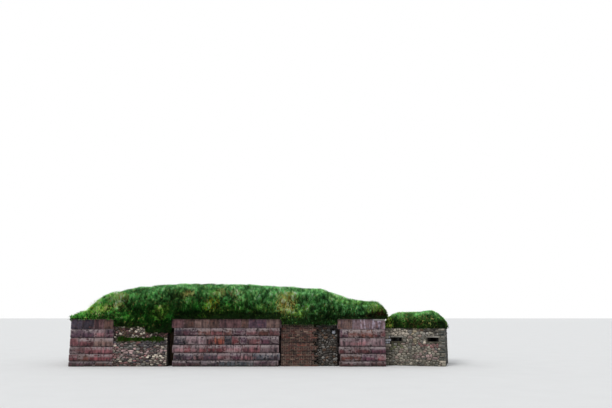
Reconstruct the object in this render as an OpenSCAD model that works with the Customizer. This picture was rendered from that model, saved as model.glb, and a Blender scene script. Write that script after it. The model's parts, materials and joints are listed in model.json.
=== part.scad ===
// Coastal battery: a bank of earth held by red sandstone ashlar and topped with turf.
// Its two gun embrasures are walled up, and a small turfed pillbox stands against its right end.
// Lengths are millimetres. +X runs along the front to the right, +Y to the rear, +Z up.
// Pieces are drawn from the battery's front left corner and then shifted, so that the origin
// is on the ground under the middle of the whole plan.

/* [Battery] */
// Depth of the battery from its front face to its rear face
battery_depth = 6400; // [5400:100:8000]
// Thickness of the ashlar walls
wall_t = 600; // [500:50:700]
// Length of the left merlon, the solid wall left of the first embrasure
left_merlon_w = 2100; // [1900:50:2800]
// Clear width of the left embrasure
left_gap_w = 2900; // [2600:50:3200]
// Length of the centre merlon
centre_merlon_w = 5450; // [5000:50:7000]
// Clear width of the right embrasure
right_gap_w = 2800; // [2600:50:3200]
// Length of the right merlon
right_merlon_w = 2350; // [2100:50:3000]
// Width of each embrasure where it comes out at the rear
throat_w = 1200; // [900:50:1500]

/* [Ashlar courses] */
// Heights of the courses at the battery's left end, lowest first
left_courses = [250, 350, 350, 430, 420, 520]; // [200:10:560]
// Heights of the courses in its middle, adding up to the same wall height
centre_courses = [290, 360, 390, 433, 387, 460]; // [200:10:560]
// Heights of the courses at its right end, adding up to the same wall height
right_courses = [250, 350, 350, 420, 430, 520]; // [200:10:560]
// Chamfer along each bed joint
arris = 16; // [8:2:24]
// How far the broken ends of the courses are worn back
worn_end = 150; // [60:10:180]

/* [Blocked embrasures] */
// Height of the ledge on the rubble blocking of the left embrasure
ledge_z = 1250; // [1000:50:1400]
// Height of the rubble blocking over its left half
rubble_top_z = 1960; // [1800:20:2000]
// Height of the rubble blocking over its right half
rubble_low_z = 1660; // [1560:20:1740]
// Open slot between the rubble blocking and the centre merlon
slot_w = 170; // [120:10:240]
// Height of the brick blocking in the right embrasure
brick_top_z = 2055; // [1830:75:2130]
// Length of the brick blocking before it gives way to rubble
brick_w = 1850; // [1600:50:2000]

/* [Turf] */
// Height of the bank's crest, grass included
crest_z = 4180; // [3800:20:4600]
// Height of the lower shoulder at the right end of the bank
shoulder_z = 3240; // [2900:20:3400]
// How far the turf leans out over the front, rear and left walls
turf_lip = 100; // [60:10:160]
// How far it leans out over the right wall
right_turf_lip = 170; // [60:10:200]

/* [Pillbox] */
// Length of the pillbox's front wall
pillbox_w = 2930; // [2600:10:3200]
// Length of its side walls
pillbox_d = 2850; // [2600:50:3200]
// Thickness of its walls
pillbox_wall_t = 420; // [380:20:450]
// Height of its walls from the ground to the roof slab
pillbox_wall_h = 1850; // [1800:25:2000]
// Turn of the pillbox away from the battery's front line
pillbox_turn = 15.5; // [12:0.5:20]
// Thickness of the roof slab
slab_t = 250; // [200:25:300]
// Height of the hump on the pillbox's turf cap, grass included
cap_top_z = 2745; // [2500:5:2900]
// Width of each loophole at the outer face
loop_mouth_w = 545; // [500:5:640]
// Width of each loophole at the inner face
loop_throat_w = 240; // [200:20:280]
// Height of each loophole
loop_h = 200; // [180:5:260]
// Clear width of the doorway
door_w = 700; // [650:10:760]
// Height of the doorway
door_h = 1600; // [1550:10:1650]

/* [Hidden] */

// Battery plan
function total(values, count, i = 0) = i < count ? values[i] + total(values, count, i + 1) : 0;
wall_top = total(centre_courses, len(centre_courses));
left_gap_x = left_merlon_w;
centre_x = left_gap_x + left_gap_w;
right_gap_x = centre_x + centre_merlon_w;
right_merlon_x = right_gap_x + right_gap_w;
battery_w = right_merlon_x + right_merlon_w;
rear_face_y = battery_depth - wall_t;
left_throat_x = left_gap_x + (left_gap_w - throat_w) / 2;
right_throat_x = right_gap_x + (right_gap_w - throat_w) / 2;
cheek_t = 450;

// Faces of the blocking walls, set back from the ashlar face
lower_rubble_y = 60;
upper_rubble_y = 160;
brick_y = 120;
hearting_y = 320;
rear_blocking_back = 80;

// Pillbox plan: its front left corner stands beside the battery's right end
pillbox_gap = 125;
pillbox_x = battery_w + pillbox_gap;
pillbox_y = pillbox_w * sin(pillbox_turn);
loop_z = 1190;
loop_corner = 285;
loop_inner_corner = 450;
lintel_h = 75;
lintel_t = 140;
lintel_out = 20;
lintel_bearing = 60;
door_x = pillbox_wall_t + 120;
rear_loop_x = pillbox_w - 1450;
cap_lip = 70;
cap_lip_z = pillbox_wall_h;
slab_out = 20;
floor_t = 80;

// Reach of the whole plan to the left, right, front and rear
corbel_out = 180;
plan_left = -corbel_out;
plan_right = pillbox_x + (pillbox_w + cap_lip) * cos(pillbox_turn)
    + (pillbox_d + cap_lip) * sin(pillbox_turn);
plan_front = min(-turf_lip, pillbox_y - (pillbox_w + cap_lip) * sin(pillbox_turn)
    - cap_lip * cos(pillbox_turn));
plan_rear = battery_depth + turf_lip;

// Width of the steep step where the turf drops over an edge
step_w = 5;
lip_drop = 20;
lip_h = 40;

function smooth(t) = let (c = max(0, min(1, t))) c * c * (3 - 2 * c);
function between(v, low, high) = v >= low && v <= high;

module to_plan_centre()
    translate([-(plan_left + plan_right) / 2, -(plan_front + plan_rear) / 2, 0]) children();

module along_x(length) rotate([90, 0, 90]) linear_extrude(length) children();

// Extrudes an outline drawn in X and Z from y = 0 towards the rear
module upright(depth)
    translate([0, depth, 0]) rotate([90, 0, 0]) linear_extrude(depth) children();

// One course of ashlar: its outer face is y = 0, chamfered at the top and bottom bed
module course(length, height)
    along_x(length) polygon([
        [arris, 0], [0, arris], [0, height - arris], [arris, height],
        [wall_t, height], [wall_t, 0]
    ]);

// How far course i is worn back at a broken end
function wear(i, phase) = worn_end * (0.3 + 0.7 * abs(sin(70 * i + phase)));

// A wall of stacked courses from x = 0, with either end worn where an embrasure was broken open.
// The top course runs the full length.
module ashlar_wall(length, courses, worn_left = false, worn_right = false)
    for (i = [0 : len(courses) - 1]) {
        whole = i == len(courses) - 1;
        start = worn_left && !whole ? wear(i, 25) : 0;
        end = worn_right && !whole ? wear(i, 95) : 0;
        translate([start, 0, total(courses, i)]) course(length - start - end, courses[i]);
    }

module sandstone() color("rosybrown") children();
module rubble_stone() color("tan") children();
module concrete() color("darkgray") children();
module earth() color("saddlebrown") children();
module grass() color("olivedrab") children();

module left_merlon() sandstone() ashlar_wall(left_merlon_w, left_courses);

module centre_merlon()
    sandstone() translate([centre_x, 0, 0])
        ashlar_wall(centre_merlon_w, centre_courses, worn_left = true, worn_right = true);

// The top course of the right merlon is cut down at its right end for a thin coping
coping_w = 520;
coping_h = 90;
coping_out = 30;
module right_merlon()
    sandstone() translate([right_merlon_x, 0, 0]) difference() {
        ashlar_wall(right_merlon_w, right_courses, worn_left = true);
        translate([right_merlon_w - coping_w, -1, wall_top - coping_h])
            cube([coping_w + 1, wall_t + 2, coping_h + 1]);
    }

module merlon_coping()
    color("silver") translate([battery_w - coping_w, -coping_out, wall_top - coping_h])
        cube([coping_w + coping_out, wall_t + coping_out, coping_h]);

flank_length = rear_face_y - wall_t;
module left_flank_wall()
    sandstone() translate([0, rear_face_y, 0]) rotate([0, 0, -90])
        ashlar_wall(flank_length, left_courses);

module right_flank_wall()
    sandstone() translate([battery_w, wall_t, 0]) rotate([0, 0, 90])
        ashlar_wall(flank_length, right_courses);

// Rear walls run from x_right back towards the left
module rear_wall(x_left, x_right, courses)
    sandstone() translate([x_right, battery_depth, 0]) rotate([0, 0, 180])
        ashlar_wall(x_right - x_left, courses);

module rear_wall_left() rear_wall(0, left_throat_x, left_courses);
module rear_wall_centre()
    rear_wall(left_throat_x + throat_w, right_throat_x, centre_courses);
module rear_wall_right() rear_wall(right_throat_x + throat_w, battery_w, right_courses);

// A splayed cheek runs from the front wall to the throat; side is -1 for the left one of a pair
module cheek(mouth_x, throat_x, side)
    sandstone() linear_extrude(wall_top) polygon([
        [mouth_x, wall_t], [throat_x, rear_face_y],
        [throat_x + side * cheek_t, rear_face_y], [mouth_x + side * cheek_t, wall_t]
    ]);

module left_cheek_outer() cheek(left_gap_x, left_throat_x, -1);
module left_cheek_inner() cheek(centre_x, left_throat_x + throat_w, 1);
module right_cheek_inner() cheek(right_gap_x, right_throat_x, -1);
module right_cheek_outer() cheek(right_merlon_x, right_throat_x + throat_w, 1);

// Rubble blocking of the left embrasure: a thicker lower part whose top makes a ledge
rubble_w = left_gap_w - slot_w;
rubble_break_x = 1600;
module rubble_blocking_lower()
    rubble_stone() translate([left_gap_x, lower_rubble_y, 0]) upright(wall_t - lower_rubble_y)
        polygon([
            [0, 0], [0, ledge_z], [rubble_w - 40, ledge_z],
            [rubble_w - 20, ledge_z * 0.6], [rubble_w, ledge_z * 0.35], [rubble_w, 0]
        ]);

module rubble_blocking_upper()
    rubble_stone() translate([left_gap_x, upper_rubble_y, ledge_z])
        upright(wall_t - upper_rubble_y) polygon([
            [0, 0], [0, rubble_top_z - ledge_z - 90], [260, rubble_top_z - ledge_z],
            [rubble_break_x - 160, rubble_top_z - ledge_z],
            [rubble_break_x, rubble_low_z - ledge_z - 20],
            [rubble_w - 300, rubble_low_z - ledge_z],
            [rubble_w - 60, rubble_low_z - ledge_z - 50], [rubble_w - 60, 0]
        ]);

// Brick blocking of the right embrasure: its right edge is toothed course by course
brick_h = 75;
half_brick = 112;
brick_courses = floor(brick_top_z / brick_h);
function brick_end(i) = brick_w - (i % 2) * half_brick
    - half_brick * floor(2.4 * abs(sin(31 * i)));
module brick_blocking()
    color("firebrick") translate([right_gap_x, brick_y, 0]) upright(wall_t - brick_y)
        polygon(concat(
            [[0, 0]],
            [[0, brick_top_z]],
            [[brick_end(brick_courses - 1), brick_top_z]],
            [for (i = [brick_courses - 1 : -1 : 0], s = [1, 0])
                [brick_end(i), (i + s) * brick_h]]
        ));

// Loose core of the wall beside the brick, with a hollow where a boulder is bedded
hollow_r = 140;
hollow_z = 1700;
boulder_r = 95;
module rubble_hearting() {
    hearting_w = right_gap_w - brick_w;
    hollow_x = hearting_w - hollow_r - 30;
    color("dimgray") translate([right_gap_x + brick_w, hearting_y, 0]) {
        difference() {
            upright(wall_t - hearting_y) polygon([
                [0, 0], [0, brick_top_z - 60], [260, brick_top_z], [hearting_w, brick_top_z],
                [hearting_w, 0]
            ]);
            translate([hollow_x, -1, hollow_z]) rotate([-90, 0, 0])
                cylinder(h = 160, r = hollow_r, $fn = 32);
        }
        translate([hollow_x, 110, hollow_z - hollow_r + boulder_r - 15])
            sphere(r = boulder_r, $fn = 32);
    }
}

// Rubble in the throats, flush with the wall tops
module rear_blocking(x)
    rubble_stone() translate([x, rear_face_y, 0])
        cube([throat_w, wall_t - rear_blocking_back, wall_top]);
module rear_blocking_left() rear_blocking(left_throat_x);
module rear_blocking_right() rear_blocking(right_throat_x);

// Three masses of earth, each between two walls or cheeks
module earth_mass(front_left, front_right, rear_right, rear_left)
    linear_extrude(wall_top) polygon([
        [front_left, wall_t], [front_right, wall_t],
        [rear_right, rear_face_y], [rear_left, rear_face_y]
    ]);

module earth_bank() earth() {
    earth_mass(wall_t, left_gap_x - cheek_t, left_throat_x - cheek_t, wall_t);
    earth_mass(centre_x + cheek_t, right_gap_x - cheek_t,
        right_throat_x - cheek_t, left_throat_x + throat_w + cheek_t);
    earth_mass(right_merlon_x + cheek_t, battery_w - wall_t,
        battery_w - wall_t, right_throat_x + throat_w + cheek_t);
}

module embrasure_fill() earth() {
    earth_mass(left_gap_x, centre_x, left_throat_x + throat_w, left_throat_x);
    earth_mass(right_gap_x, right_merlon_x, right_throat_x + throat_w, right_throat_x);
}

// Grid of heights, as points
function height_points(xs, ys, height) = [for (y = ys, x = xs) [x, y, height(x, y)]];

// A closed solid between two height functions on one rectangular grid
module turf_solid(xs, ys, top, bottom) {
    nx = len(xs);
    ny = len(ys);
    n = nx * ny;
    last = (ny - 1) * nx;
    polyhedron(
        points = concat(height_points(xs, ys, top), height_points(xs, ys, bottom)),
        faces = concat(
            [for (j = [0 : ny - 2], i = [0 : nx - 2], half = [0, 1])
                let (a = j * nx + i, c = a + nx + 1)
                half == 0 ? [a, a + nx, c] : [a, c, a + 1]],
            [for (j = [0 : ny - 2], i = [0 : nx - 2], half = [0, 1])
                let (a = n + j * nx + i, c = a + nx + 1)
                half == 0 ? [a, c, a + nx] : [a, a + 1, c]],
            [for (i = [0 : nx - 2]) [n + i, i, i + 1, n + i + 1]],
            [for (i = [last : last + nx - 2]) [n + i + 1, i + 1, i, n + i]],
            [for (j = [0 : ny - 2]) let (a = j * nx) [n + a + nx, a + nx, a, n + a]],
            [for (j = [0 : ny - 2]) let (a = j * nx + nx - 1) [n + a, a, a + nx, n + a + nx]]
        )
    );
}

// Even divisions of a span, both ends included
function spread(low, high, count) =
    [for (i = [0 : count]) low + (high - low) * i / count];

// A short row of grid lines at an edge that the turf drops over
function edge_low(v, lip) = [v - lip, v - lip * 0.55, v - step_w, v];
function edge_high(v, lip) = [v, v + step_w, v + lip * 0.55, v + lip];

rim_h = 60;
dip_reach = 1300;
dip_blend = 260;

// Height of the bank's crest along its length: a steep left end, a long back and a lower right
// shoulder that stands up to the end of the wall
function raw_crest(x) = lookup(x, [
    [-turf_lip, wall_top + rim_h],
    [430, wall_top + 330],
    [620, crest_z - 780],
    [1100, crest_z - 500],
    [2300, crest_z - 190],
    [4200, crest_z],
    [8200, crest_z + 10],
    [10600, crest_z - 150],
    [12500, crest_z - 230],
    [right_merlon_x + 700, shoulder_z + 140],
    [battery_w - 150, shoulder_z - 110],
    [battery_w + 60, shoulder_z - 200],
    [battery_w + right_turf_lip, wall_top + 200]
]);
function crest(x) = (raw_crest(x - 140) + 2 * raw_crest(x) + raw_crest(x + 140)) / 4;

// Share of the full height at a place across a bank: a power of 2 is a round arch,
// and higher ones have steeper edges and a flatter top
function arch(y, low, high, power) =
    let (v = (y - low) / (high - low)) 1 - pow(abs(2 * max(0, min(1, v)) - 1), power);
function mound_arch(x, y) =
    let (end = smooth(1 - min(x, battery_w - x) / 2600))
    arch(y, -turf_lip, battery_depth + turf_lip, 2.5 + 1.5 * end);

// How far the turf hangs down at the front over a blocked embrasure
function hang(x, y, gap_x, gap_w, blocking_z) =
    (wall_top - blocking_z)
    * smooth(min(x - gap_x, gap_x + gap_w - x) / dip_blend)
    * (1 - smooth((y - 150) / dip_reach));
function blocking_top(x) = x < left_gap_x + rubble_break_x ? rubble_top_z : rubble_low_z;

coping_slab_x = 20;
coping_slab_y = 900;
coping_slab_w = 420;
coping_slab_d = 700;
coping_slab_h = 85;
coping_slab_z = wall_top + 300;
function on_coping_seat(x, y) =
    between(x, coping_slab_x - 1, coping_slab_x + coping_slab_w + 1)
    && between(y, coping_slab_y - 1, coping_slab_y + coping_slab_d + 1);

function mound_rounding(x, y) =
    let (d = min(x + turf_lip, battery_w + right_turf_lip - x, y + turf_lip,
        battery_depth + turf_lip - y))
    lip_h * pow(1 - min(1, d / 160), 2);

function mound_top(x, y) = on_coping_seat(x, y) ? coping_slab_z
    : wall_top + rim_h
        + (crest(x) - wall_top - rim_h) * mound_arch(x, y)
        - hang(x, y, left_gap_x, left_gap_w, blocking_top(x))
        - hang(x, y, right_gap_x, right_gap_w, brick_top_z)
        - mound_rounding(x, y);

// The underside follows the wall tops, the lower tops of the blockings and the hanging lips
function in_left_gap(x) = between(x, left_gap_x + step_w - 1, centre_x - step_w + 1);
function in_right_gap(x) = between(x, right_gap_x + step_w - 1, right_merlon_x - step_w + 1);
function over_blocking(y) = y < wall_t - 1;
function mound_bottom(x, y) =
    let (outside = y < -1 || y > battery_depth + 1 || x < -1 || x > battery_w + 1,
        drop = outside ? lip_drop : 0)
    in_left_gap(x) && over_blocking(y) ? blocking_top(x) - drop
    : in_right_gap(x) && over_blocking(y) ? brick_top_z - drop
    : wall_top - drop;

mound_xs = concat(
    edge_low(0, turf_lip),
    [coping_slab_x - step_w, coping_slab_x, coping_slab_x + coping_slab_w,
        coping_slab_x + coping_slab_w + step_w],
    [620, 820],
    spread(1100, left_gap_x - 260, 2),
    [left_gap_x, left_gap_x + step_w],
    spread(left_gap_x + 200, left_gap_x + rubble_break_x - 150, 4),
    [left_gap_x + rubble_break_x - step_w, left_gap_x + rubble_break_x],
    spread(left_gap_x + rubble_break_x + 250, centre_x - 200, 3),
    [centre_x - step_w, centre_x],
    spread(centre_x + 400, right_gap_x - 400, 9),
    [right_gap_x, right_gap_x + step_w],
    spread(right_gap_x + 200, right_merlon_x - 200, 6),
    [right_merlon_x - step_w, right_merlon_x],
    spread(right_merlon_x + 300, battery_w - 200, 5),
    [battery_w - 70],
    edge_high(battery_w, right_turf_lip)
);
mound_ys = concat(
    edge_low(0, turf_lip),
    [150, 360, wall_t - step_w, wall_t],
    [coping_slab_y - step_w, coping_slab_y],
    [1250],
    [coping_slab_y + coping_slab_d, coping_slab_y + coping_slab_d + step_w],
    spread(2050, rear_face_y - 500, 5),
    spread(rear_face_y - 60, battery_depth - 160, 3),
    edge_high(battery_depth, turf_lip)
);

module turf_mound()
    grass() turf_solid(mound_xs, mound_ys,
        function (x, y) mound_top(x, y), function (x, y) mound_bottom(x, y));

module coping_slab()
    color("silver") translate([coping_slab_x, coping_slab_y, coping_slab_z])
        cube([coping_slab_w, coping_slab_d, coping_slab_h]);

// A broken stone that stands out from the top of the left end
module corner_corbel()
    sandstone() translate([0, 150, wall_top - 190]) upright(420) polygon([
        [0, 0], [70 - corbel_out, 30], [-corbel_out, 110], [-corbel_out, 190], [0, 190]
    ]);

// Fills the narrow wedge between the battery's end and the pillbox, well behind their faces
link_front_y = 1250;
link_t = 500;
function pillbox_side_x(y) = pillbox_x + (y - pillbox_y) * tan(pillbox_turn);
module link_wall()
    rubble_stone() linear_extrude(pillbox_wall_h - 60) polygon([
        [battery_w, link_front_y], [pillbox_side_x(link_front_y), link_front_y],
        [pillbox_side_x(link_front_y + link_t), link_front_y + link_t],
        [battery_w, link_front_y + link_t]
    ]);

// Draws in the pillbox's own plan: its front left corner is the origin
module in_pillbox() translate([pillbox_x, pillbox_y, 0]) rotate([0, 0, -pillbox_turn]) children();

// A loophole through a wall whose outer face is y = 0: the wide mouth is outside
module loophole(mouth_x, throat_x)
    translate([0, 0, loop_z]) linear_extrude(loop_h) polygon([
        [mouth_x, -1], [mouth_x + loop_mouth_w, -1],
        [mouth_x + loop_mouth_w, 60], [throat_x + loop_throat_w, pillbox_wall_t + 1],
        [throat_x, pillbox_wall_t + 1], [mouth_x, 60]
    ]);

// Lintel and sill bars over and under a loophole, bedded in the outer face
module bar(mouth_x, z)
    translate([mouth_x - lintel_bearing, -lintel_out, z])
        cube([loop_mouth_w + 2 * lintel_bearing, lintel_t + lintel_out, lintel_h]);
module lintel(mouth_x) bar(mouth_x, loop_z + loop_h);
module sill(mouth_x) bar(mouth_x, loop_z - lintel_h);

front_loops = [
    [loop_corner, loop_inner_corner],
    [pillbox_w - loop_corner - loop_mouth_w, pillbox_w - loop_inner_corner - loop_throat_w]
];
side_loop_x = (pillbox_d - 2 * pillbox_wall_t - loop_mouth_w) / 2;
function centred_throat(mouth_x) = mouth_x + (loop_mouth_w - loop_throat_w) / 2;

module pillbox_front_wall()
    rubble_stone() in_pillbox() difference() {
        cube([pillbox_w, pillbox_wall_t, pillbox_wall_h]);
        for (p = front_loops) {
            loophole(p[0], p[1]);
            lintel(p[0]);
            sill(p[0]);
        }
    }

module front_loop_lintels() concrete() in_pillbox() for (p = front_loops) lintel(p[0]);
module front_loop_sills() concrete() in_pillbox() for (p = front_loops) sill(p[0]);

module pillbox_left_wall()
    rubble_stone() in_pillbox() translate([0, pillbox_wall_t, 0])
        cube([pillbox_wall_t, pillbox_d - 2 * pillbox_wall_t, pillbox_wall_h]);

// The right wall is drawn along its own outer face and turned into place
module on_right_wall()
    in_pillbox() translate([pillbox_w, pillbox_wall_t, 0]) rotate([0, 0, 90]) children();

module pillbox_right_wall()
    rubble_stone() on_right_wall() difference() {
        cube([pillbox_d - 2 * pillbox_wall_t, pillbox_wall_t, pillbox_wall_h]);
        loophole(side_loop_x, centred_throat(side_loop_x));
        lintel(side_loop_x);
        sill(side_loop_x);
    }

module side_loop_lintel() concrete() on_right_wall() lintel(side_loop_x);
module side_loop_sill() concrete() on_right_wall() sill(side_loop_x);

// The rear wall is drawn from its outer right corner, seen from behind
module on_rear_wall()
    in_pillbox() translate([pillbox_w, pillbox_d, 0]) rotate([0, 0, 180]) children();

rear_mouth_x = pillbox_w - rear_loop_x - loop_mouth_w;
door_left = pillbox_w - door_x - door_w;
door_lintel_h = 120;
door_bearing = 110;
module door_lintel_bar()
    translate([door_left - door_bearing, -lintel_out, door_h])
        cube([door_w + 2 * door_bearing, pillbox_wall_t * 0.6, door_lintel_h]);

module pillbox_rear_wall()
    rubble_stone() on_rear_wall() difference() {
        cube([pillbox_w, pillbox_wall_t, pillbox_wall_h]);
        loophole(rear_mouth_x, centred_throat(rear_mouth_x));
        lintel(rear_mouth_x);
        sill(rear_mouth_x);
        translate([door_left, -1, -1]) cube([door_w, pillbox_wall_t + 2, door_h + 1]);
        door_lintel_bar();
    }

module rear_loop_lintel() concrete() on_rear_wall() lintel(rear_mouth_x);
module rear_loop_sill() concrete() on_rear_wall() sill(rear_mouth_x);
module door_lintel() concrete() on_rear_wall() door_lintel_bar();
module door_step()
    concrete() on_rear_wall() translate([door_left, 0, 0])
        cube([door_w, pillbox_wall_t, floor_t]);

module pillbox_floor()
    concrete() in_pillbox() translate([pillbox_wall_t, pillbox_wall_t, 0])
        cube([pillbox_w - 2 * pillbox_wall_t, pillbox_d - 2 * pillbox_wall_t, floor_t]);

module pillbox_roof_slab()
    concrete() in_pillbox() translate([-slab_out, -slab_out, pillbox_wall_h])
        cube([pillbox_w + 2 * slab_out, pillbox_d + 2 * slab_out, slab_t]);

// Turf cap of the pillbox: a low bank with a hump towards its right, and a hanging fringe
slab_top = pillbox_wall_h + slab_t;
cap_rim_z = slab_top + 70;
function cap_crest(x) = lookup(x, [
    [-cap_lip, cap_rim_z + 40],
    [110, cap_top_z - 330],
    [320, cap_top_z - 190],
    [620, cap_top_z - 110],
    [1650, cap_top_z - 100],
    [1950, cap_top_z - 30],
    [2300, cap_top_z],
    [pillbox_w - 420, cap_top_z - 100],
    [pillbox_w - 200, cap_top_z - 265],
    [pillbox_w - 60, cap_top_z - 420],
    [pillbox_w + cap_lip, cap_rim_z]
]);
function cap_rounding(x, y) =
    let (d = min(x, pillbox_w - x, y, pillbox_d - y) + cap_lip)
    100 * pow(1 - min(1, d / 150), 2);
function cap_top(x, y) =
    cap_rim_z + (cap_crest(x) - cap_rim_z) * arch(y, -cap_lip, pillbox_d + cap_lip, 4)
        - cap_rounding(x, y);
function cap_bottom(x, y) =
    between(x, -slab_out - 1, pillbox_w + slab_out + 1)
    && between(y, -slab_out - 1, pillbox_d + slab_out + 1) ? slab_top : cap_lip_z;
function cap_lines(length) = concat(
    [-cap_lip, -slab_out - step_w, -slab_out], spread(90, length - 90, 12),
    [length + slab_out, length + slab_out + step_w, length + cap_lip]);

module pillbox_turf_cap()
    grass() in_pillbox() turf_solid(cap_lines(pillbox_w), cap_lines(pillbox_d),
        function (x, y) cap_top(x, y), function (x, y) cap_bottom(x, y));

to_plan_centre() {
    left_merlon();
    centre_merlon();
    right_merlon();
    left_flank_wall();
    right_flank_wall();
    rear_wall_left();
    rear_wall_centre();
    rear_wall_right();
    left_cheek_outer();
    left_cheek_inner();
    right_cheek_inner();
    right_cheek_outer();
    rubble_blocking_lower();
    rubble_blocking_upper();
    brick_blocking();
    rubble_hearting();
    rear_blocking_left();
    rear_blocking_right();
    earth_bank();
    embrasure_fill();
    turf_mound();
    coping_slab();
    corner_corbel();
    merlon_coping();
    link_wall();
    pillbox_front_wall();
    pillbox_rear_wall();
    pillbox_left_wall();
    pillbox_right_wall();
    pillbox_floor();
    pillbox_roof_slab();
    pillbox_turf_cap();
    front_loop_lintels();
    front_loop_sills();
    side_loop_lintel();
    side_loop_sill();
    rear_loop_lintel();
    rear_loop_sill();
    door_lintel();
    door_step();
}
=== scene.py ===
"""Looks of the turf-topped coastal battery and its pillbox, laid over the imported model.

The walls get their single stones and bricks, the bank and the pillbox's roof get their grass, and
every surface gets a finish. Lengths are metres in the part's own frame.
"""

import functools
import itertools
import json
import logging
import math
from collections.abc import Callable, Sequence
from dataclasses import dataclass, field
from enum import Enum

import bpy
import numpy as np
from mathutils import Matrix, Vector


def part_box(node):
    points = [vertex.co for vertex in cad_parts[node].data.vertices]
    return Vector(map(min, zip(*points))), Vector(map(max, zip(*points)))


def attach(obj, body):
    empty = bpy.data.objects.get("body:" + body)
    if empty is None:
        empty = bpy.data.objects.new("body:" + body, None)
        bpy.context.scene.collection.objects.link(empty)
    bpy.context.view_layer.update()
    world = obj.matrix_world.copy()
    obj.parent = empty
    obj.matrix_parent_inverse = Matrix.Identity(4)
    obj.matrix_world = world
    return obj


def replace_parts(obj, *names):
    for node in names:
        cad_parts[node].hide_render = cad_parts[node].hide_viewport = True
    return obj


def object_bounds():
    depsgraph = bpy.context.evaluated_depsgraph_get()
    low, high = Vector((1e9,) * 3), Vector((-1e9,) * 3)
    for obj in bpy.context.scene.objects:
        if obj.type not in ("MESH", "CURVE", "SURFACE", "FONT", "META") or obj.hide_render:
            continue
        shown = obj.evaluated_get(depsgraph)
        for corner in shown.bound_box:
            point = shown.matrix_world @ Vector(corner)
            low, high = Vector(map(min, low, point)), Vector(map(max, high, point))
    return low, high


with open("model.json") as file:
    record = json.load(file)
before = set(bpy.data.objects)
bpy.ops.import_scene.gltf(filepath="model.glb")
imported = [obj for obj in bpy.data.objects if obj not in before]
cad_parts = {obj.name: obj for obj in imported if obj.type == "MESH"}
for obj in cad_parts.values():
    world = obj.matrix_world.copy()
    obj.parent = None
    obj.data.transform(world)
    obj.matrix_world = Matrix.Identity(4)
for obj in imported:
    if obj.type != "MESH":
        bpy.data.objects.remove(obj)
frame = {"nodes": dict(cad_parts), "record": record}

log = logging.getLogger("battery")
Array = np.ndarray
Pair = tuple[float, float]
Place = tuple[float, float, float]
Edges = tuple[float, float, float, float]
Colour = tuple[float, float, float, float]
TINY = 1e-9
SOLIDS = [list(corner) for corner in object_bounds()]
PILLBOX_WIDTH = 2.93
PILLBOX_DEPTH = 2.85
PILLBOX_TURN = -15.5
PILLBOX_GAP = 0.125


def pillbox_corner() -> Pair:
    """Finds the pillbox's front left corner from the battery's right end.

    Returns:
        Its place on the ground in the part's frame.
    """
    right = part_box("right_flank_wall")[1][0]
    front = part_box("left_merlon")[0][1]
    back = PILLBOX_WIDTH * math.sin(math.radians(-PILLBOX_TURN))
    return (right + PILLBOX_GAP, front + back)


def paint(red: float, green: float, blue: float) -> Colour:
    """Turns a display colour, from 0 to 255, into the linear one that Blender works with."""
    parts = (v / 255 for v in (red, green, blue))
    return (*(v / 12.92 if v <= 0.04045 else ((v + 0.055) / 1.055) ** 2.4 for v in parts), 1.0)


def ease(values: Array | float) -> Array:
    """Eases numbers from 0 to 1, and holds them at either end."""
    held = np.clip(values, 0.0, 1.0)
    return held * held * (3.0 - 2.0 * held)


def unit(vectors: Array) -> Array:
    """Gives vectors, three numbers a row, a length of 1."""
    return vectors / np.maximum(np.linalg.norm(vectors, axis=1, keepdims=True), TINY)


def shaded(tone: Colour, shade: float) -> Colour:
    """Makes a tone lighter or darker."""
    return (tone[0] * shade, tone[1] * shade, tone[2] * shade, 1.0)


def even_tones(tone: Colour, count: int, rim: float = 0.0) -> Array:
    """Gives every point of a body the same tone and the same share of rim."""
    return np.tile(np.array([*tone[:3], rim]), (count, 1))


def lattice_chance(cells: Array, seed: int) -> Array:
    """Gives each lattice cell its own number.

    Args:
        cells: Whole numbers, three a row.
        seed: Another seed gives other numbers.

    Returns:
        One number from 0 to 1 a row.
    """
    whole = cells.astype(np.int64).astype(np.uint32)
    mixed = (
        whole[..., 0] * np.uint32(374761393)
        + whole[..., 1] * np.uint32(668265263)
        + whole[..., 2] * np.uint32(2246822519)
        + np.uint32((seed * 3266489917) % 2**32)
    )
    mixed = (mixed ^ (mixed >> np.uint32(13))) * np.uint32(1274126177)
    mixed = mixed ^ (mixed >> np.uint32(16))
    return (mixed & np.uint32(0xFFFF)) / 65535.0


def drift(points: Array, size: float | Sequence[float], seed: int) -> Array:
    """Soft random numbers that change slowly from place to place.

    Args:
        points: Places, three numbers a row.
        size: Distance over which the numbers change, or one for each axis.
        seed: Another seed gives other numbers.

    Returns:
        One number from -1 to 1 a row.
    """
    scaled = points / np.asarray(size)
    base = np.floor(scaled)
    part = ease(scaled - base)
    total = np.zeros(len(points))
    for corner in range(8):
        step = np.array([corner & 1, corner >> 1 & 1, corner >> 2 & 1])
        share = np.prod(np.where(step == 1, part, 1.0 - part), axis=1)
        total += share * lattice_chance(base + step, seed)
    return total * 2.0 - 1.0


# Shader graph


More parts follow.
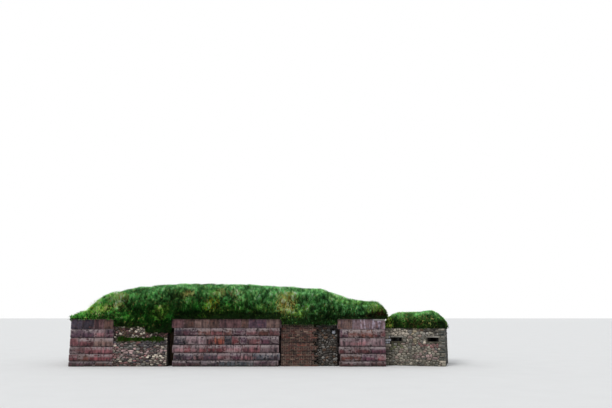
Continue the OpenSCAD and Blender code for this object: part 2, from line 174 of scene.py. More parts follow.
class Wire:
    """A node's output, on which Python's arithmetic adds Math nodes."""

    def __init__(self, graph: "Graph", socket: bpy.types.NodeSocket | None) -> None:
        """Keeps the graph and the output socket, which the closing node doesn't have."""
        self.graph = graph
        self.socket = socket

    def __add__(self, other: "Wire | float") -> "Wire":
        """Adds a number or another wire."""
        return self.graph.maths("ADD", self, other)

    def __sub__(self, other: "Wire | float") -> "Wire":
        """Takes a number or another wire away."""
        return self.graph.maths("SUBTRACT", self, other)

    def __rsub__(self, other: float) -> "Wire":
        """Takes this wire away from a number."""
        return self.graph.maths("SUBTRACT", other, self)

    def __mul__(self, other: "Wire | float") -> "Wire":
        """Multiplies by a number or another wire."""
        return self.graph.maths("MULTIPLY", self, other)

    __radd__ = __add__
    __rmul__ = __mul__

    def rise(self, low: float, high: float) -> "Wire":
        """Eases this wire from 0 at low to 1 at high, which may be less than low."""
        sockets = {"Value": self, "From Min": low, "From Max": high}
        return self.graph.node("MapRange", {"interpolation_type": "SMOOTHSTEP"}, sockets)


class Graph:
    """The nodes of one material, or of the sky."""

    def __init__(self, owner: bpy.types.Material | bpy.types.World) -> None:
        """Clears the nodes of a material or sky.

        Args:
            owner: The material or sky.
        """
        self.owner = owner
        owner.use_nodes = True
        self.tree = owner.node_tree
        self.tree.nodes.clear()

    def node(
        self,
        kind: str,
        settings: dict | None = None,
        sockets: dict | None = None,
        output: int | str = 0,
    ) -> Wire:
        """Adds a node.

        Args:
            kind: The node's type, without the word ShaderNode.
            settings: The node's own settings, which are set first.
            sockets: Value or wire for each input, by name or number.
            output: Name or number of the output that is wanted.

        Returns:
            That output.
        """
        made = self.tree.nodes.new("ShaderNode" + kind)
        for key, value in (settings or {}).items():
            setattr(made, key, value)
        for key, value in (sockets or {}).items():
            if isinstance(value, Wire):
                self.tree.links.new(value.socket, made.inputs[key])
            else:
                made.inputs[key].default_value = value
        return Wire(self, made.outputs[output] if len(made.outputs) else None)

    def maths(self, operation: str, first: Wire | float, second: Wire | float) -> Wire:
        """Adds a Math node that works out two numbers."""
        return self.node("Math", {"operation": operation}, {0: first, 1: second})

    def blend(self, factor: Wire, low: Wire | Colour, high: Wire | Colour) -> Wire:
        """Mixes two colours: a factor of 0 gives low and 1 gives high."""
        return self.node("Mix", {"data_type": "RGBA"}, {0: factor, 6: low, 7: high}, 2)

    def shade(self, colour: Wire, value: Wire) -> Wire:
        """Makes a colour lighter or darker by multiplying its value."""
        return self.node("HueSaturation", None, {"Color": colour, "Value": value})

    def place(self, stretch: Sequence[float] = (1.0, 1.0, 1.0)) -> Wire:
        """Gives the place on the surface in metres.

        Args:
            stretch: What each axis is multiplied by. A small number draws a pattern out that way.

        Returns:
            The place as a vector.
        """
        where = self.node("TexCoord", output="Object")
        if tuple(stretch) == (1.0, 1.0, 1.0):
            return where
        return self.node("VectorMath", {"operation": "MULTIPLY"}, {0: where, 1: stretch})

    def clouds(self, scale: float, detail: float, stretch: Sequence[float] = (1, 1, 1)) -> Wire:
        """Adds noise around 0.5, of that many features a metre and with that many finer layers."""
        sockets = {"Vector": self.place(stretch), "Scale": scale, "Detail": detail}
        return self.node("TexNoise", None, sockets)

    def along(self, axis: str) -> Wire:
        """Gives the place on the surface along one axis, in metres."""
        return self.node("SeparateXYZ", None, {0: self.place()}, axis)

    def facing_up(self) -> Wire:
        """Gives 1 where the surface faces up, 0 where it is upright."""
        return self.node("SeparateXYZ", None, {0: self.node("NewGeometry", output="Normal")}, "Z")

    def tone(self) -> Wire:
        """Gives the colour that each stone, brick or blade was laid with."""
        return self.node("Attribute", {"attribute_name": "tone"}, output="Color")

    def rim(self) -> Wire:
        """Gives 1 at a stone's edges and 0 inside them."""
        return self.node("Attribute", {"attribute_name": "tone"}, output="Alpha")

    def finish(
        self, colour: Wire, roughness: Wire | float, relief: Wire, depth: float, gloss: float
    ) -> bpy.types.Material:
        """Closes the material.

        Args:
            colour: Base colour.
            roughness: Roughness from 0 to 1.
            relief: Height pattern for the bump.
            depth: How deep that pattern is, in metres.
            gloss: Specular level.

        Returns:
            The material.
        """
        bump = self.node("Bump", None, {"Strength": 1.0, "Distance": depth, "Height": relief})
        sockets = {
            "Base Color": colour,
            "Roughness": roughness,
            "Normal": bump,
            "Specular IOR Level": gloss,
        }
        shader = self.node("BsdfPrincipled", None, sockets)
        self.node("OutputMaterial", None, {"Surface": shader})
        return self.owner


# Finishes


@dataclass(frozen=True)
class StoneFinish:
    """Weathered stone, whose single blocks bring their own tone."""

    name: str
    worn: Colour
    stain: Colour
    rust: Colour
    bands: float
    streaks: float
    edge: float
    rusting: float
    depth: float = 0.006
    mottling: float = 1.3
    runs: float = 0.0
    drips: float = 0.0
    drips_from: float = 0.0

    def make(self) -> bpy.types.Material:
        """Makes the material.

        Returns:
            Grain, pale worn bands, hanging stains, rusty patches, dust and painted light on what
            faces up, and damp at the foot, over each block's tone.
        """
        g = Graph(bpy.data.materials.new(self.name))
        grain = g.clouds(55.0, 5.0)
        bedding = g.clouds(1.0, 4.0, (1.4, 1.4, 24.0))
        band = g.clouds(1.0, 3.0, (1.7, 1.7, 7.0))
        blotch = g.clouds(3.1, 5.0)
        streak = g.clouds(1.0, 5.0, (7.0, 7.0, 0.9))
        mottle = g.clouds(11.0, 6.0)
        value = 0.85 + 0.4 * (grain - 0.5) + 0.5 * (bedding - 0.5)
        value = value + self.mottling * (blotch + 0.8 * mottle - 0.9)
        if self.runs:
            value = value + self.runs * (g.clouds(1.0, 4.0, (9.0, 9.0, 2.0)) - 0.5)
        colour = g.shade(g.tone(), value)
        colour = g.blend(mottle.rise(0.56, 0.68) * self.rusting, colour, self.rust)
        colour = g.blend(streak.rise(0.5, 0.68) * self.streaks, colour, self.stain)
        pale = band.rise(0.52, 0.64) * mottle.rise(0.36, 0.56) * self.bands
        colour = g.blend(pale, colour, self.worn)
        rim = g.rim() * mottle.rise(0.36, 0.56) * self.edge
        colour = g.blend(rim, colour, self.worn)
        if self.drips:
            start = g.along("X").rise(self.drips_from - 0.1, self.drips_from + 0.25)
            drip = g.clouds(1.0, 4.0, (9.0, 9.0, 1.1)).rise(0.5, 0.62) * mottle.rise(0.3, 0.55)
            colour = g.blend(start * drip * self.drips, colour, self.worn)
        # Paler on what faces up: dust, and painted light from above
        dust_and_top_light = g.facing_up().rise(0.2, 0.8) * 0.35
        colour = g.blend(dust_and_top_light, colour, self.worn)
        damp = g.along("Z").rise(0.4, 0.0) * blotch.rise(0.3, 0.6) * 0.55
        colour = g.blend(damp, colour, paint(52, 54, 42))
        pits = g.node("TexVoronoi", None, {"Vector": g.place(), "Scale": 38.0})
        relief = grain + 0.7 * bedding + 0.5 * pits.rise(0.0, 0.35)
        return g.finish(colour, 0.8 + 0.16 * grain, relief, self.depth, 0.25)


@dataclass(frozen=True)
class PlainFinish:
    """Mortar, concrete, earth or dressed stone: one colour, broken up by stains and grain."""

    name: str
    body: Colour
    dark: Colour
    pale: Colour
    growth: Colour
    growth_share: float = 0.3
    boards: float = 0.0
    scale: float = 1.0
    depth: float = 0.006
    gloss: float = 0.25
    room: bool = False

    def outdoors(self, g: Graph) -> Wire:
        """Tells the pillbox's outside from its room and reveals, which get painted shade.

        Args:
            g: The material's graph.

        Returns:
            1 on the outer faces of the building and 0 inside them.
        """
        x, y = pillbox_corner()
        turn = math.radians(PILLBOX_TURN)
        across, back = math.cos(turn), math.sin(turn)
        east, north = g.along("X") - x, g.along("Y") - y
        u = east * across + north * back
        v = north * across - east * back
        sides = (u, PILLBOX_WIDTH - u, v, PILLBOX_DEPTH - v)
        nearest = functools.reduce(lambda a, b: g.maths("MINIMUM", a, b), sides)
        return nearest.rise(0.06, 0.02)

    def make(self) -> bpy.types.Material:
        """Makes the material.

        Returns:
            Blotches, grain, pits, growth and, where wanted, the lines of shuttering boards and
            painted shade inside the pillbox's room.
        """
        g = Graph(bpy.data.materials.new(self.name))
        grain = g.clouds(70.0 * self.scale, 5.0)
        blotch = g.clouds(3.0 * self.scale, 5.0)
        patch = g.clouds(7.0 * self.scale, 6.0)
        streak = g.clouds(1.0, 4.0, (10.0, 10.0, 1.0))
        board = g.clouds(1.0, 1.0, (0.4, 0.4, 16.0))
        colour = g.blend(blotch.rise(0.35, 0.7), self.body, self.dark)
        colour = g.blend(patch.rise(0.54, 0.7) * 0.7, colour, self.pale)
        colour = g.blend(streak.rise(0.5, 0.75) * 0.5, colour, self.dark)
        colour = g.blend(patch.rise(0.46, 0.3) * self.growth_share, colour, self.growth)
        colour = g.shade(colour, 0.8 + 0.4 * grain)
        # Painted shade: dark inside the pillbox's room and in the reveals of its openings
        if self.room:
            colour = g.blend(self.outdoors(g), paint(34, 32, 30), colour)
        pits = g.node("TexVoronoi", None, {"Vector": g.place(), "Scale": 30.0 * self.scale})
        relief = grain + 0.6 * pits.rise(0.0, 0.3) + self.boards * board
        return g.finish(colour, 0.82 + 0.14 * grain, relief, self.depth, self.gloss)


@dataclass(frozen=True)
class GrassFinish:
    """Grass blades, flowers and seed heads, which bring their own tone."""

    name: str
    roughness: float = 0.62

    def make(self) -> bpy.types.Material:
        """Makes the material.

        Returns:
            Each blade's tone, broken up along its length, with fine ribs.
        """
        g = Graph(bpy.data.materials.new(self.name))
        fleck = g.clouds(42.0, 3.0)
        patches = g.clouds(1.3, 3.0)
        colour = g.shade(g.tone(), 0.7 + 0.35 * fleck + 0.3 * patches)
        ribs = g.clouds(240.0, 2.0, (1.0, 1.0, 0.2))
        return g.finish(colour, self.roughness + 0.2 * fleck, ribs, 0.001, 0.03)


class Finish(Enum):
    """Every finish in the scene."""

    ASHLAR = StoneFinish(
        "weathered_red_sandstone", worn=paint(150, 138, 138), stain=paint(38, 28, 34),
        rust=paint(112, 56, 46), bands=0.4, streaks=0.75, edge=0.85, rusting=0.3,
        depth=0.01, mottling=1.9, runs=3.0,
    )
    DRESSED = StoneFinish(
        "dressed_red_sandstone", worn=paint(142, 124, 128), stain=paint(36, 26, 30),
        rust=paint(104, 58, 48), bands=0.06, streaks=0.8, edge=0.6, rusting=0.45, runs=2.4,
    )
    STREAKED = StoneFinish(
        "streaked_red_sandstone", worn=paint(170, 158, 172), stain=paint(44, 34, 46),
        rust=paint(128, 74, 58), bands=0.06, streaks=0.85, edge=0.3, rusting=0.5, drips=0.8,
        drips_from=4.4, runs=2.4,
    )
    RUBBLE = StoneFinish(
        "mixed_rubble", worn=paint(176, 166, 158), stain=paint(44, 38, 36),
        rust=paint(112, 78, 60), bands=0.2, streaks=0.35, edge=0.4, rusting=0.25, depth=0.008,
    )
    FIELDSTONE = StoneFinish(
        "buff_fieldstone", worn=paint(164, 158, 144), stain=paint(62, 58, 50),
        rust=paint(126, 100, 72), bands=0.3, streaks=0.4, edge=0.45, rusting=0.2, depth=0.008,
    )
    BRICK = StoneFinish(
        "old_brick", worn=paint(124, 100, 90), stain=paint(26, 21, 22),
        rust=paint(84, 44, 36), bands=0.18, streaks=0.6, edge=0.35, rusting=0.3, depth=0.004,
    )
    JOINT = PlainFinish(
        "lime_joints", paint(84, 68, 68), paint(38, 30, 32), paint(116, 102, 102),
        paint(48, 50, 38), 0.35,
    )
    RUBBLE_JOINT = PlainFinish(
        "deep_rubble_joints", paint(44, 40, 36), paint(24, 22, 20), paint(74, 66, 58),
        paint(36, 42, 26), 0.4,
    )
    BUFF_JOINT = PlainFinish(
        "buff_pointing", paint(84, 79, 70), paint(46, 43, 38), paint(112, 106, 95),
        paint(66, 70, 48), 0.3, room=True,
    )
    BRICK_JOINT = PlainFinish(
        "tan_brick_joints", paint(134, 114, 100), paint(50, 42, 37), paint(158, 138, 124),
        paint(60, 64, 44), 0.4,
    )
    CORE = PlainFinish(
        "dark_loose_core", paint(58, 53, 48), paint(34, 32, 29), paint(88, 82, 74),
        paint(48, 54, 36), 0.4, depth=0.012,
    )
    CONCRETE = PlainFinish(
        "shuttered_concrete", paint(140, 136, 128), paint(98, 93, 86), paint(166, 163, 156),
        paint(116, 116, 84), 0.35, boards=0.8,
    )
    SILL = PlainFinish(
        "mossy_concrete", paint(92, 88, 74), paint(60, 57, 48), paint(118, 112, 98),
        paint(92, 90, 52), 0.6,
    )
    COPING = PlainFinish(
        "pale_coping_stone", paint(176, 170, 166), paint(128, 120, 118), paint(198, 194, 190),
        paint(110, 112, 84), 0.3,
    )
    EARTH = PlainFinish(
        "packed_earth", paint(74, 58, 42), paint(46, 36, 27), paint(98, 80, 58),
        paint(58, 60, 34), 0.3, depth=0.02,
    )
    THATCH = PlainFinish(
        "old_grass_and_roots", paint(22, 44, 14), paint(10, 22, 7), paint(46, 54, 24),
        paint(18, 48, 13), 0.6, scale=2.0, depth=0.03, gloss=0.04,
    )
    BLADES = GrassFinish("grass_blades")
    HEADS = GrassFinish("flower_and_seed_heads", 0.7)

    @functools.cached_property
    def material(self) -> bpy.types.Material:
        """The finish's one material."""
        return self.value.make()


# Meshes


@dataclass
class Heap:
    """Gathers the faces of many stones, bricks or blades into one mesh."""

    points: list[Array] = field(default_factory=list)
    corners: list[Array] = field(default_factory=list)
    counts: list[Array] = field(default_factory=list)
    tones: list[Array] = field(default_factory=list)
    maps: list[Array] = field(default_factory=list)
    total: int = 0

    def add(self, points: Array, faces: Array, tones: Array) -> None:
        """Adds one body.

        Args:
            points: Its points, three numbers a row.
            faces: Its faces, three or four point numbers a row.
            tones: Linear colour and rim of each point, four numbers a row.
        """
        self.points.append(points)
        self.corners.append((faces + self.total).ravel())
        self.counts.append(np.full(len(faces), faces.shape[1]))
        self.tones.append(tones)
        self.total += len(points)

    def make(self, name: str, finish: Finish, slot: str, smooth: bool = True) -> bpy.types.Object:
        """Makes the mesh and its object, which rides on the part's one body.

        Args:
            name: The piece's name.
            finish: What it wears.
            slot: The record's material slot that it belongs to. It is not used.
            smooth: Whether its faces are smoothly shaded.

        Returns:
            The object.
        """
        counts = np.concatenate(self.counts)
        corners = np.concatenate(self.corners)
        mesh = bpy.data.meshes.new(name)
        mesh.vertices.add(self.total)
        mesh.vertices.foreach_set("co", np.concatenate(self.points).astype(np.float32).ravel())
        mesh.loops.add(len(corners))
        mesh.loops.foreach_set("vertex_index", corners.astype(np.int32))
        mesh.polygons.add(len(counts))
        mesh.polygons.foreach_set("loop_start", (np.cumsum(counts) - counts).astype(np.int32))
        mesh.polygons.foreach_set("use_smooth", np.full(len(counts), smooth))
        mesh.update(calc_edges=True)
        tones = mesh.color_attributes.new("tone", "FLOAT_COLOR", "POINT")
        tones.data.foreach_set("color", np.concatenate(self.tones).astype(np.float32).ravel())
        if self.maps:
            layer = mesh.uv_layers.new(name="OFBake")
            layer.data.foreach_set("uv", np.concatenate(self.maps).astype(np.float32).ravel())
        mesh.materials.append(finish.material)
        piece = bpy.data.objects.new(name, mesh)
        bpy.context.scene.collection.objects.link(piece)
        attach(piece, "root")
        log.info("%s: %d faces", name, len(counts))
        return piece


@functools.cache
def block_lattice(
    across: int, deep: int, high: int, closed: bool = False
) -> tuple[Array, Array]:
    """Lays out the outer faces of a block.

    Args:
        across: Cells along its length.
        deep: Cells from its face to its back.
        high: Cells up its height.
        closed: Whether it has a back, which stays open where a wall hides it.

    Returns:
        Lattice place of each point, and four point numbers of each face.
    """
    quads = []
    m, n = across, high
    for k in range(high):
        for i in range(across):
            quads.append([(i, 0, k), (i + 1, 0, k), (i + 1, 0, k + 1), (i, 0, k + 1)])
        for j in range(deep):
            quads.append([(0, j + 1, k), (0, j, k), (0, j, k + 1), (0, j + 1, k + 1)])
            quads.append([(m, j, k), (m, j + 1, k), (m, j + 1, k + 1), (m, j, k + 1)])
    for j in range(deep):
        for i in range(across):
            quads.append([(i, j, n), (i + 1, j, n), (i + 1, j + 1, n), (i, j + 1, n)])
            quads.append([(i, j + 1, 0), (i + 1, j + 1, 0), (i + 1, j, 0), (i, j, 0)])
    j = deep
    for k in range(high if closed else 0):
        for i in range(across):
            quads.append([(i + 1, j, k), (i, j, k), (i, j, k + 1), (i + 1, j, k + 1)])
    flat = np.array(quads).reshape(-1, 3)
    places, numbers = np.unique(flat, axis=0, return_inverse=True)
    return places, numbers.reshape(-1, 4)


@dataclass(frozen=True)
class Facade:
    """A vertical face of a building: its lower left corner, and the way it runs."""

    corner: Pair
    heading: float

    def to_world(self, points: Array) -> Array:
        """Takes points from the facade into the part's frame.

        Args:
            points: Distance along the face, out of it and up, three numbers a row.

        Returns:
            The same points in the part's frame.
        """
        turn = math.radians(self.heading)
        along = np.array([math.cos(turn), math.sin(turn), 0.0])
        out = np.array([math.sin(turn), -math.cos(turn), 0.0])
        up = np.array([0.0, 0.0, 1.0])
        base = np.array([*self.corner, 0.0])
        return base + points[:, :1] * along + points[:, 1:2] * out + points[:, 2:] * up


@dataclass(frozen=True)
class Grade:
    """How a kind of block is cut and worn, and painted light and shade on its top and foot."""

    proud: float
    radius: Place
    relief: float
    rim: float
    cells: tuple[int, int]
    border: tuple[float, ...] = ()
    pale_and_lit_top: float = 0.0
    painted_foot_shade: float = 0.0
    blush: float = 0.0

    def lines(self, low: float, high: float, cells: int) -> Array:
        """Places the grid lines across a block.

        Args:
            low: Its lower edge.
            high: Its upper edge.
            cells: Cells between the borders.

        Returns:
            The lines from low to high.
        """
        size = high - low
        border = [b for b in self.border if b < size * 0.3]
        inner = max(border, default=0.28 * size)
        middle = np.linspace(low + inner, high - inner, cells + 1)
        sides = [b for b in border if b < inner]
        return np.array(
            [low, *(low + b for b in sides), *middle, *(high - b for b in reversed(sides)), high]
        )


@dataclass(frozen=True)
class Block:
    """One stone or brick: its edges on the facade, how deep it goes and its tone."""

    left: float
    right: float
    low: float
    high: float
    depth: float
    tone: Colour
    proud: float = 0.0
    tilt: float = 0.0


def round_off(points: Array, low: Array, high: Array, radius: Array) -> Array:
    """Draws the points on a box's faces in to worn edges and corners.

    Args:
        points: The points, three numbers a row.
        low: The box's lowest corner.
        high: Its highest corner.
        radius: The edges' radius at each point, or one for each axis there.

    Returns:
        The points on the rounded box.
    """
    inner = np.clip(points, low + radius, high - radius)
    away = (points - inner) / radius
    reach = np.linalg.norm(away, axis=1, keepdims=True)
    return inner + away / np.maximum(reach, TINY) * radius * (reach > TINY)


def lay_block(heap: Heap, facade: Facade, block: Block, grade: Grade, seed: int) -> None:
    """Shapes one block with worn edges and adds it to a heap.

    Args:
        heap: Where it goes.
        facade: The face it is laid in.
        block: Its place and tone.
        grade: How it is cut.
        seed: Makes its wear its own.
    """
    us = grade.lines(block.left, block.right, grade.cells[0])
    zs = grade.lines(block.low, block.high, grade.cells[1])
    face = grade.proud + block.proud
    ws = np.array([face, face - grade.radius[1], -block.depth])
    places, quads = block_lattice(len(us) - 1, 2, len(zs) - 1)
    points = np.column_stack([us[places[:, 0]], ws[places[:, 1]], zs[places[:, 2]]])
    world = facade.to_world(points)
    size = min(block.right - block.left, block.high - block.low)
    radius = np.minimum(np.array(grade.radius), size * 0.42)
    radius = radius * (1.0 + 0.6 * drift(world, 0.11, seed))[:, None]
    low = np.array([block.left, -9.0, block.low])
    high = np.array([block.right, face, block.high])
    points = round_off(points, low, high, radius)
    # The pale rim is widest along a block's top edge and thinnest along its foot
    side = np.minimum(
        1.5 * np.minimum(points[:, 0] - block.left, block.right - points[:, 0]),
        np.minimum(1.8 * (points[:, 2] - block.low), block.high - points[:, 2]),
    )
    rough = drift(world, 0.16, seed + 1) + 0.5 * drift(world, 0.07, seed + 2)
    points[:, 1] += grade.relief * rough * (points[:, 1] > 0.0)
    if block.tilt:
        centre = np.array([(block.left + block.right) / 2, (block.low + block.high) / 2])
        sine, cosine = math.sin(block.tilt), math.cos(block.tilt)
        turn = np.array([[cosine, sine], [-sine, cosine]])
        points[:, [0, 2]] = (points[:, [0, 2]] - centre) @ turn + centre
    tones = even_tones(block.tone, len(points))
    share = np.clip((points[:, 2] - block.low) / (block.high - block.low), 0.0, 1.0)
    # Painted shade along the lower part of each block
    tones[:, :3] *= (1.0 - grade.painted_foot_shade * ease(1.0 - share / 0.3))[:, None]
    # Red belts and pale tops run on from block to block; the pale tops are weathered stone
    # with painted light from above
    blush = grade.blush * ease(1.3 - 3.6 * np.abs(share - 0.34)) * ease(
        0.45 + 1.3 * drift(world, (0.8, 0.8, 0.5), seed // 61 + 7)
    )
    tones[:, :3] *= 1.0 + blush[:, None] * (0.35, -0.28, -0.3)
    washed_and_lit = ease(0.6 + 0.9 * drift(world, (0.5, 0.5, 0.4), seed // 61))
    washed_and_lit *= grade.pale_and_lit_top * ease((share - 0.5) / 0.3)
    tones[:, 3] = np.maximum(np.clip(1.0 - side / grade.rim, 0.0, 1.0) * 0.6, washed_and_lit)
    heap.add(facade.to_world(points), quads, tones)


# Ashlar


class Ashlar(Enum):
    """Tones of the red sandstone."""

    PINK = paint(96, 68, 70)
    MAUVE = paint(80, 60, 72)
    ROSE = paint(104, 66, 70)
    RUST = paint(112, 68, 54)
    BROWN = paint(86, 64, 58)
    PALE = paint(122, 100, 104)
    SLATE = paint(62, 56, 66)
    TEAL = paint(70, 76, 84)
    TAN = paint(114, 91, 85)


class End(Enum):
    """How a face of ashlar ends."""

    GAP = "gap"
    WORN = "worn"
    CORNER = "corner"
    BUTT = "butt"


SMOOTH_ASHLAR = Grade(
    0.03, (0.014, 0.02, 0.014), 0.005, 0.04, (3, 2), (0.014, 0.05), painted_foot_shade=0.25
)
WORN_ASHLAR = Grade(
    0.036, (0.012, 0.04, 0.07), 0.018, 0.045, (5, 4), (0.022, 0.06), 1.0, 0.6, blush=0.6
)
JOINT_W = 0.012
UPRIGHT_JOINT_W = 0.008
BLOCK_DEPTH = 0.1
END_BLOCK_DEPTH = 0.57
END_PROUD = 0.01
QUOIN_SHORT = 0.42
QUOIN_LONG = 0.74
WORN_BACK = 0.15
WORN_PHASES = (25, 95)
LONGEST_BLOCK = 1.15
SHORTEST_BLOCK = 0.15
SLIVER = 0.06
TOP_SHADES = (0.72, 1.2)
WORN_SHADES = (0.6, 1.26)


def quoin_length(course: int, inward: bool) -> float:
    """Gives a corner block's length along or into the face, which every second course swaps."""
    return QUOIN_SHORT if (course % 2 == 0) == inward else QUOIN_LONG


def wear(course: int, phase: float) -> float:
    """Gives how far a course's broken end is worn back, as in the part's own walls."""
    return WORN_BACK * (0.3 + 0.7 * abs(math.sin(math.radians(70 * course + phase))))


@dataclass
class AshlarFace:
    """One face of coursed sandstone over its wall, which shows in the joints."""

    name: str
    facade: Facade
    length: float
    courses: tuple[float, ...]
    ends: tuple[End, End]
    tones: dict[int, tuple[Ashlar, ...]]
    joints: dict[int, tuple[float, ...]] = field(default_factory=dict)
    marks: dict[tuple[int, int], Ashlar] = field(default_factory=dict)
    cut: Pair | None = None
    block_length: Pair = (0.5, 1.02)
    seed: int = 1
    top_finish: Finish = Finish.DRESSED

    def set_in(self, side: int, course: int) -> float:
        """Gives how far inside the face's end on that side a course stops."""
        worn = 0.0 if course == len(self.courses) - 1 else wear(course, WORN_PHASES[side])
        return {End.BUTT: quoin_length(course, True), End.WORN: worn}.get(self.ends[side], 0.0)

    def spans(self, course: int, rng: np.random.Generator) -> list[Pair]:
        """Divides a course into blocks.

        Args:
            course: Number of the course.
            rng: Source of chance.

        Returns:
            Start and end of each block.
        """
        left, right = self.set_in(0, course), self.length - self.set_in(1, course)
        room = (left + SHORTEST_BLOCK, right - SHORTEST_BLOCK)
        cuts = [j for j in self.joints.get(course, ()) if room[0] < j < room[1]]
        if course not in self.joints:
            start = left + (quoin_length(course, False) if self.ends[0] is End.CORNER else 0.0)
            stop = right - (quoin_length(course, False) if self.ends[1] is End.CORNER else 0.0)
            if start > left:
                cuts.append(start)
            here = start
            while stop - here > LONGEST_BLOCK:
                here += rng.uniform(*self.block_length)
                cuts.append(here)
            if stop < right:
                cuts.append(stop)
        edges = [left, *sorted(cuts), right]
        return [(a, b) for a, b in zip(edges, edges[1:]) if b - a > SLIVER]

    def build(self) -> None:
        """Lays every block of the face: the worn courses as one piece, the top one as another."""
        rng = np.random.default_rng(self.seed)
        worn, dressed = Heap(), Heap()
        low = 0.0
        for course, height in enumerate(self.courses):
            top = course == len(self.courses) - 1
            spans = self.spans(course, rng)
            choice = self.tones.get(course, self.tones[-1])
            for number, (a, b) in enumerate(spans):
                tone = self.marks.get((course, number), choice[rng.integers(len(choice))])
                depth = BLOCK_DEPTH
                left, right = a + UPRIGHT_JOINT_W / 2, b - UPRIGHT_JOINT_W / 2
                for side, last in enumerate((0, len(spans) - 1)):
                    if number != last or self.ends[side] is End.BUTT:
                        continue
                    corner = self.ends[side] is End.CORNER
                    past = SMOOTH_ASHLAR.proud if corner else END_PROUD
                    depth = quoin_length(course, True) - JOINT_W if corner else END_BLOCK_DEPTH
                    left, right = (left, b + past) if side else (a - past, right)
                high = low + height - JOINT_W / 2
                if top and self.cut and a >= self.cut[0]:
                    high = self.cut[1]
                shade = rng.uniform(*(TOP_SHADES if top else WORN_SHADES))
                block = Block(
                    left, right, low + JOINT_W / 2, high, depth, shaded(tone.value, shade),
                    proud=rng.uniform(-0.006, 0.004),
                )
                grade = SMOOTH_ASHLAR if top else WORN_ASHLAR
                heap = dressed if top else worn
                lay_block(heap, self.facade, block, grade, self.seed * 977 + course * 61 + number)
            low += height
        worn.make(f"{self.name}_blocks", Finish.ASHLAR, "red_sandstone")
        dressed.make(f"{self.name}_top_blocks", self.top_finish, "red_sandstone")


# Rubble


class Rubble(Enum):
    """Tones of the rubble stones."""

    BEIGE = paint(138, 120, 112)
    CREAM = paint(194, 182, 166)
    GREY = paint(112, 110, 106)
    ROSE = paint(132, 92, 92)
    PINK = paint(164, 138, 136)
    SLATE = paint(66, 62, 70)
    BROWN = paint(96, 74, 58)
    BUFF = paint(150, 144, 130)
    GOLD = paint(166, 152, 126)
    ASH = paint(116, 114, 106)
    MOSS = paint(112, 116, 84)
    CHALK = paint(176, 180, 190)
    # A dark tone used as painted shade on the pillbox's side away from the light
    SHADE = paint(64, 70, 68)
    DARK = paint(54, 52, 48)
    PLAIN = paint(150, 146, 140)


CORNER_STONE = 0.46
CORNER_SHORT = 0.17
CORNER_LONG = 0.29
CORNER_RISE = (0.09, 0.17)
LEAST_CORNER_RISE = 0.07
SMALLEST_STONE = 0.0008
PATCH_SHARE = 0.8
PATCH_FADE = 7.0
SCATTER = 0.42
LEFT_OUT = 0.14
SITES_TO_AN_EXTRA = 7
NEAR_SQUARED = 12.0


def corner_depth(row: int) -> float:
    """Gives how far a corner stone goes back. Its length is what is left of CORNER_STONE."""
    return CORNER_SHORT if row % 2 else CORNER_LONG


def corner_rows(height: float) -> list[Pair]:
    """Gives the beds of a wall's corner stones, which the faces on both sides of it share.

    Args:
        height: The wall's height.

    Returns:
        Bottom and top of each row, from the ground up.
    """
    rng = np.random.default_rng(51)
    rows, here = [], 0.0
    while height - here > TINY:
        rise = rng.uniform(*CORNER_RISE)
        rise = height - here if height - here - rise < LEAST_CORNER_RISE else rise
        rows.append((here, here + rise))
        here += rise
    return rows


def cut_away(shape: Array, normal: Array, limit: float) -> Array:
    """Cuts a convex outline along a line.

    Args:
        shape: The outline's corners, two numbers a row.
        normal: The line's normal, towards what is cut away.
        limit: Its value on the line.

    Returns:
        The corners of what is left.
    """
    if len(shape) < 3:
        return shape
    value = shape @ normal - limit
    kept = []
    for here in range(len(shape)):
        after = (here + 1) % len(shape)
        if value[here] <= 0.0:
            kept.append(shape[here])
        if (value[here] <= 0.0) != (value[after] <= 0.0):
            share = value[here] / (value[here] - value[after])
            kept.append(shape[here] + share * (shape[after] - shape[here]))
    return np.array(kept).reshape(-1, 2)


def polygon_area(shape: Array) -> float:
    """Gives the area of an outline, which is 0 for fewer than three corners."""
    after = np.roll(shape, -1, axis=0)
    return abs(np.sum(shape[:, 0] * after[:, 1] - after[:, 0] * shape[:, 1])) / 2


def clear_rectangle(shape: Array, hole: Edges, gap: float) -> Array:
    """Draws an outline back to one side of a rectangle, whichever leaves most of it.

    Args:
        shape: The outline's corners, two numbers a row.
        hole: The rectangle's left, right, lower and upper edges.
        gap: Joint that is left beside it.

    Returns:
        The corners of what is left.
    """
    if len(shape) < 3:
        return shape
    low, high = shape.min(axis=0), shape.max(axis=0)
    left, right, bottom, top = hole
    if low[0] >= right or high[0] <= left or low[1] >= top or high[1] <= bottom:
        return shape
    sides = (
        ((1.0, 0.0), left - gap), ((-1.0, 0.0), -right - gap),
        ((0.0, 1.0), bottom - gap), ((0.0, -1.0), -top - gap),
    )
    cuts = [cut_away(shape, np.array(normal), limit) for normal, limit in sides]
    return max(cuts, key=polygon_area)


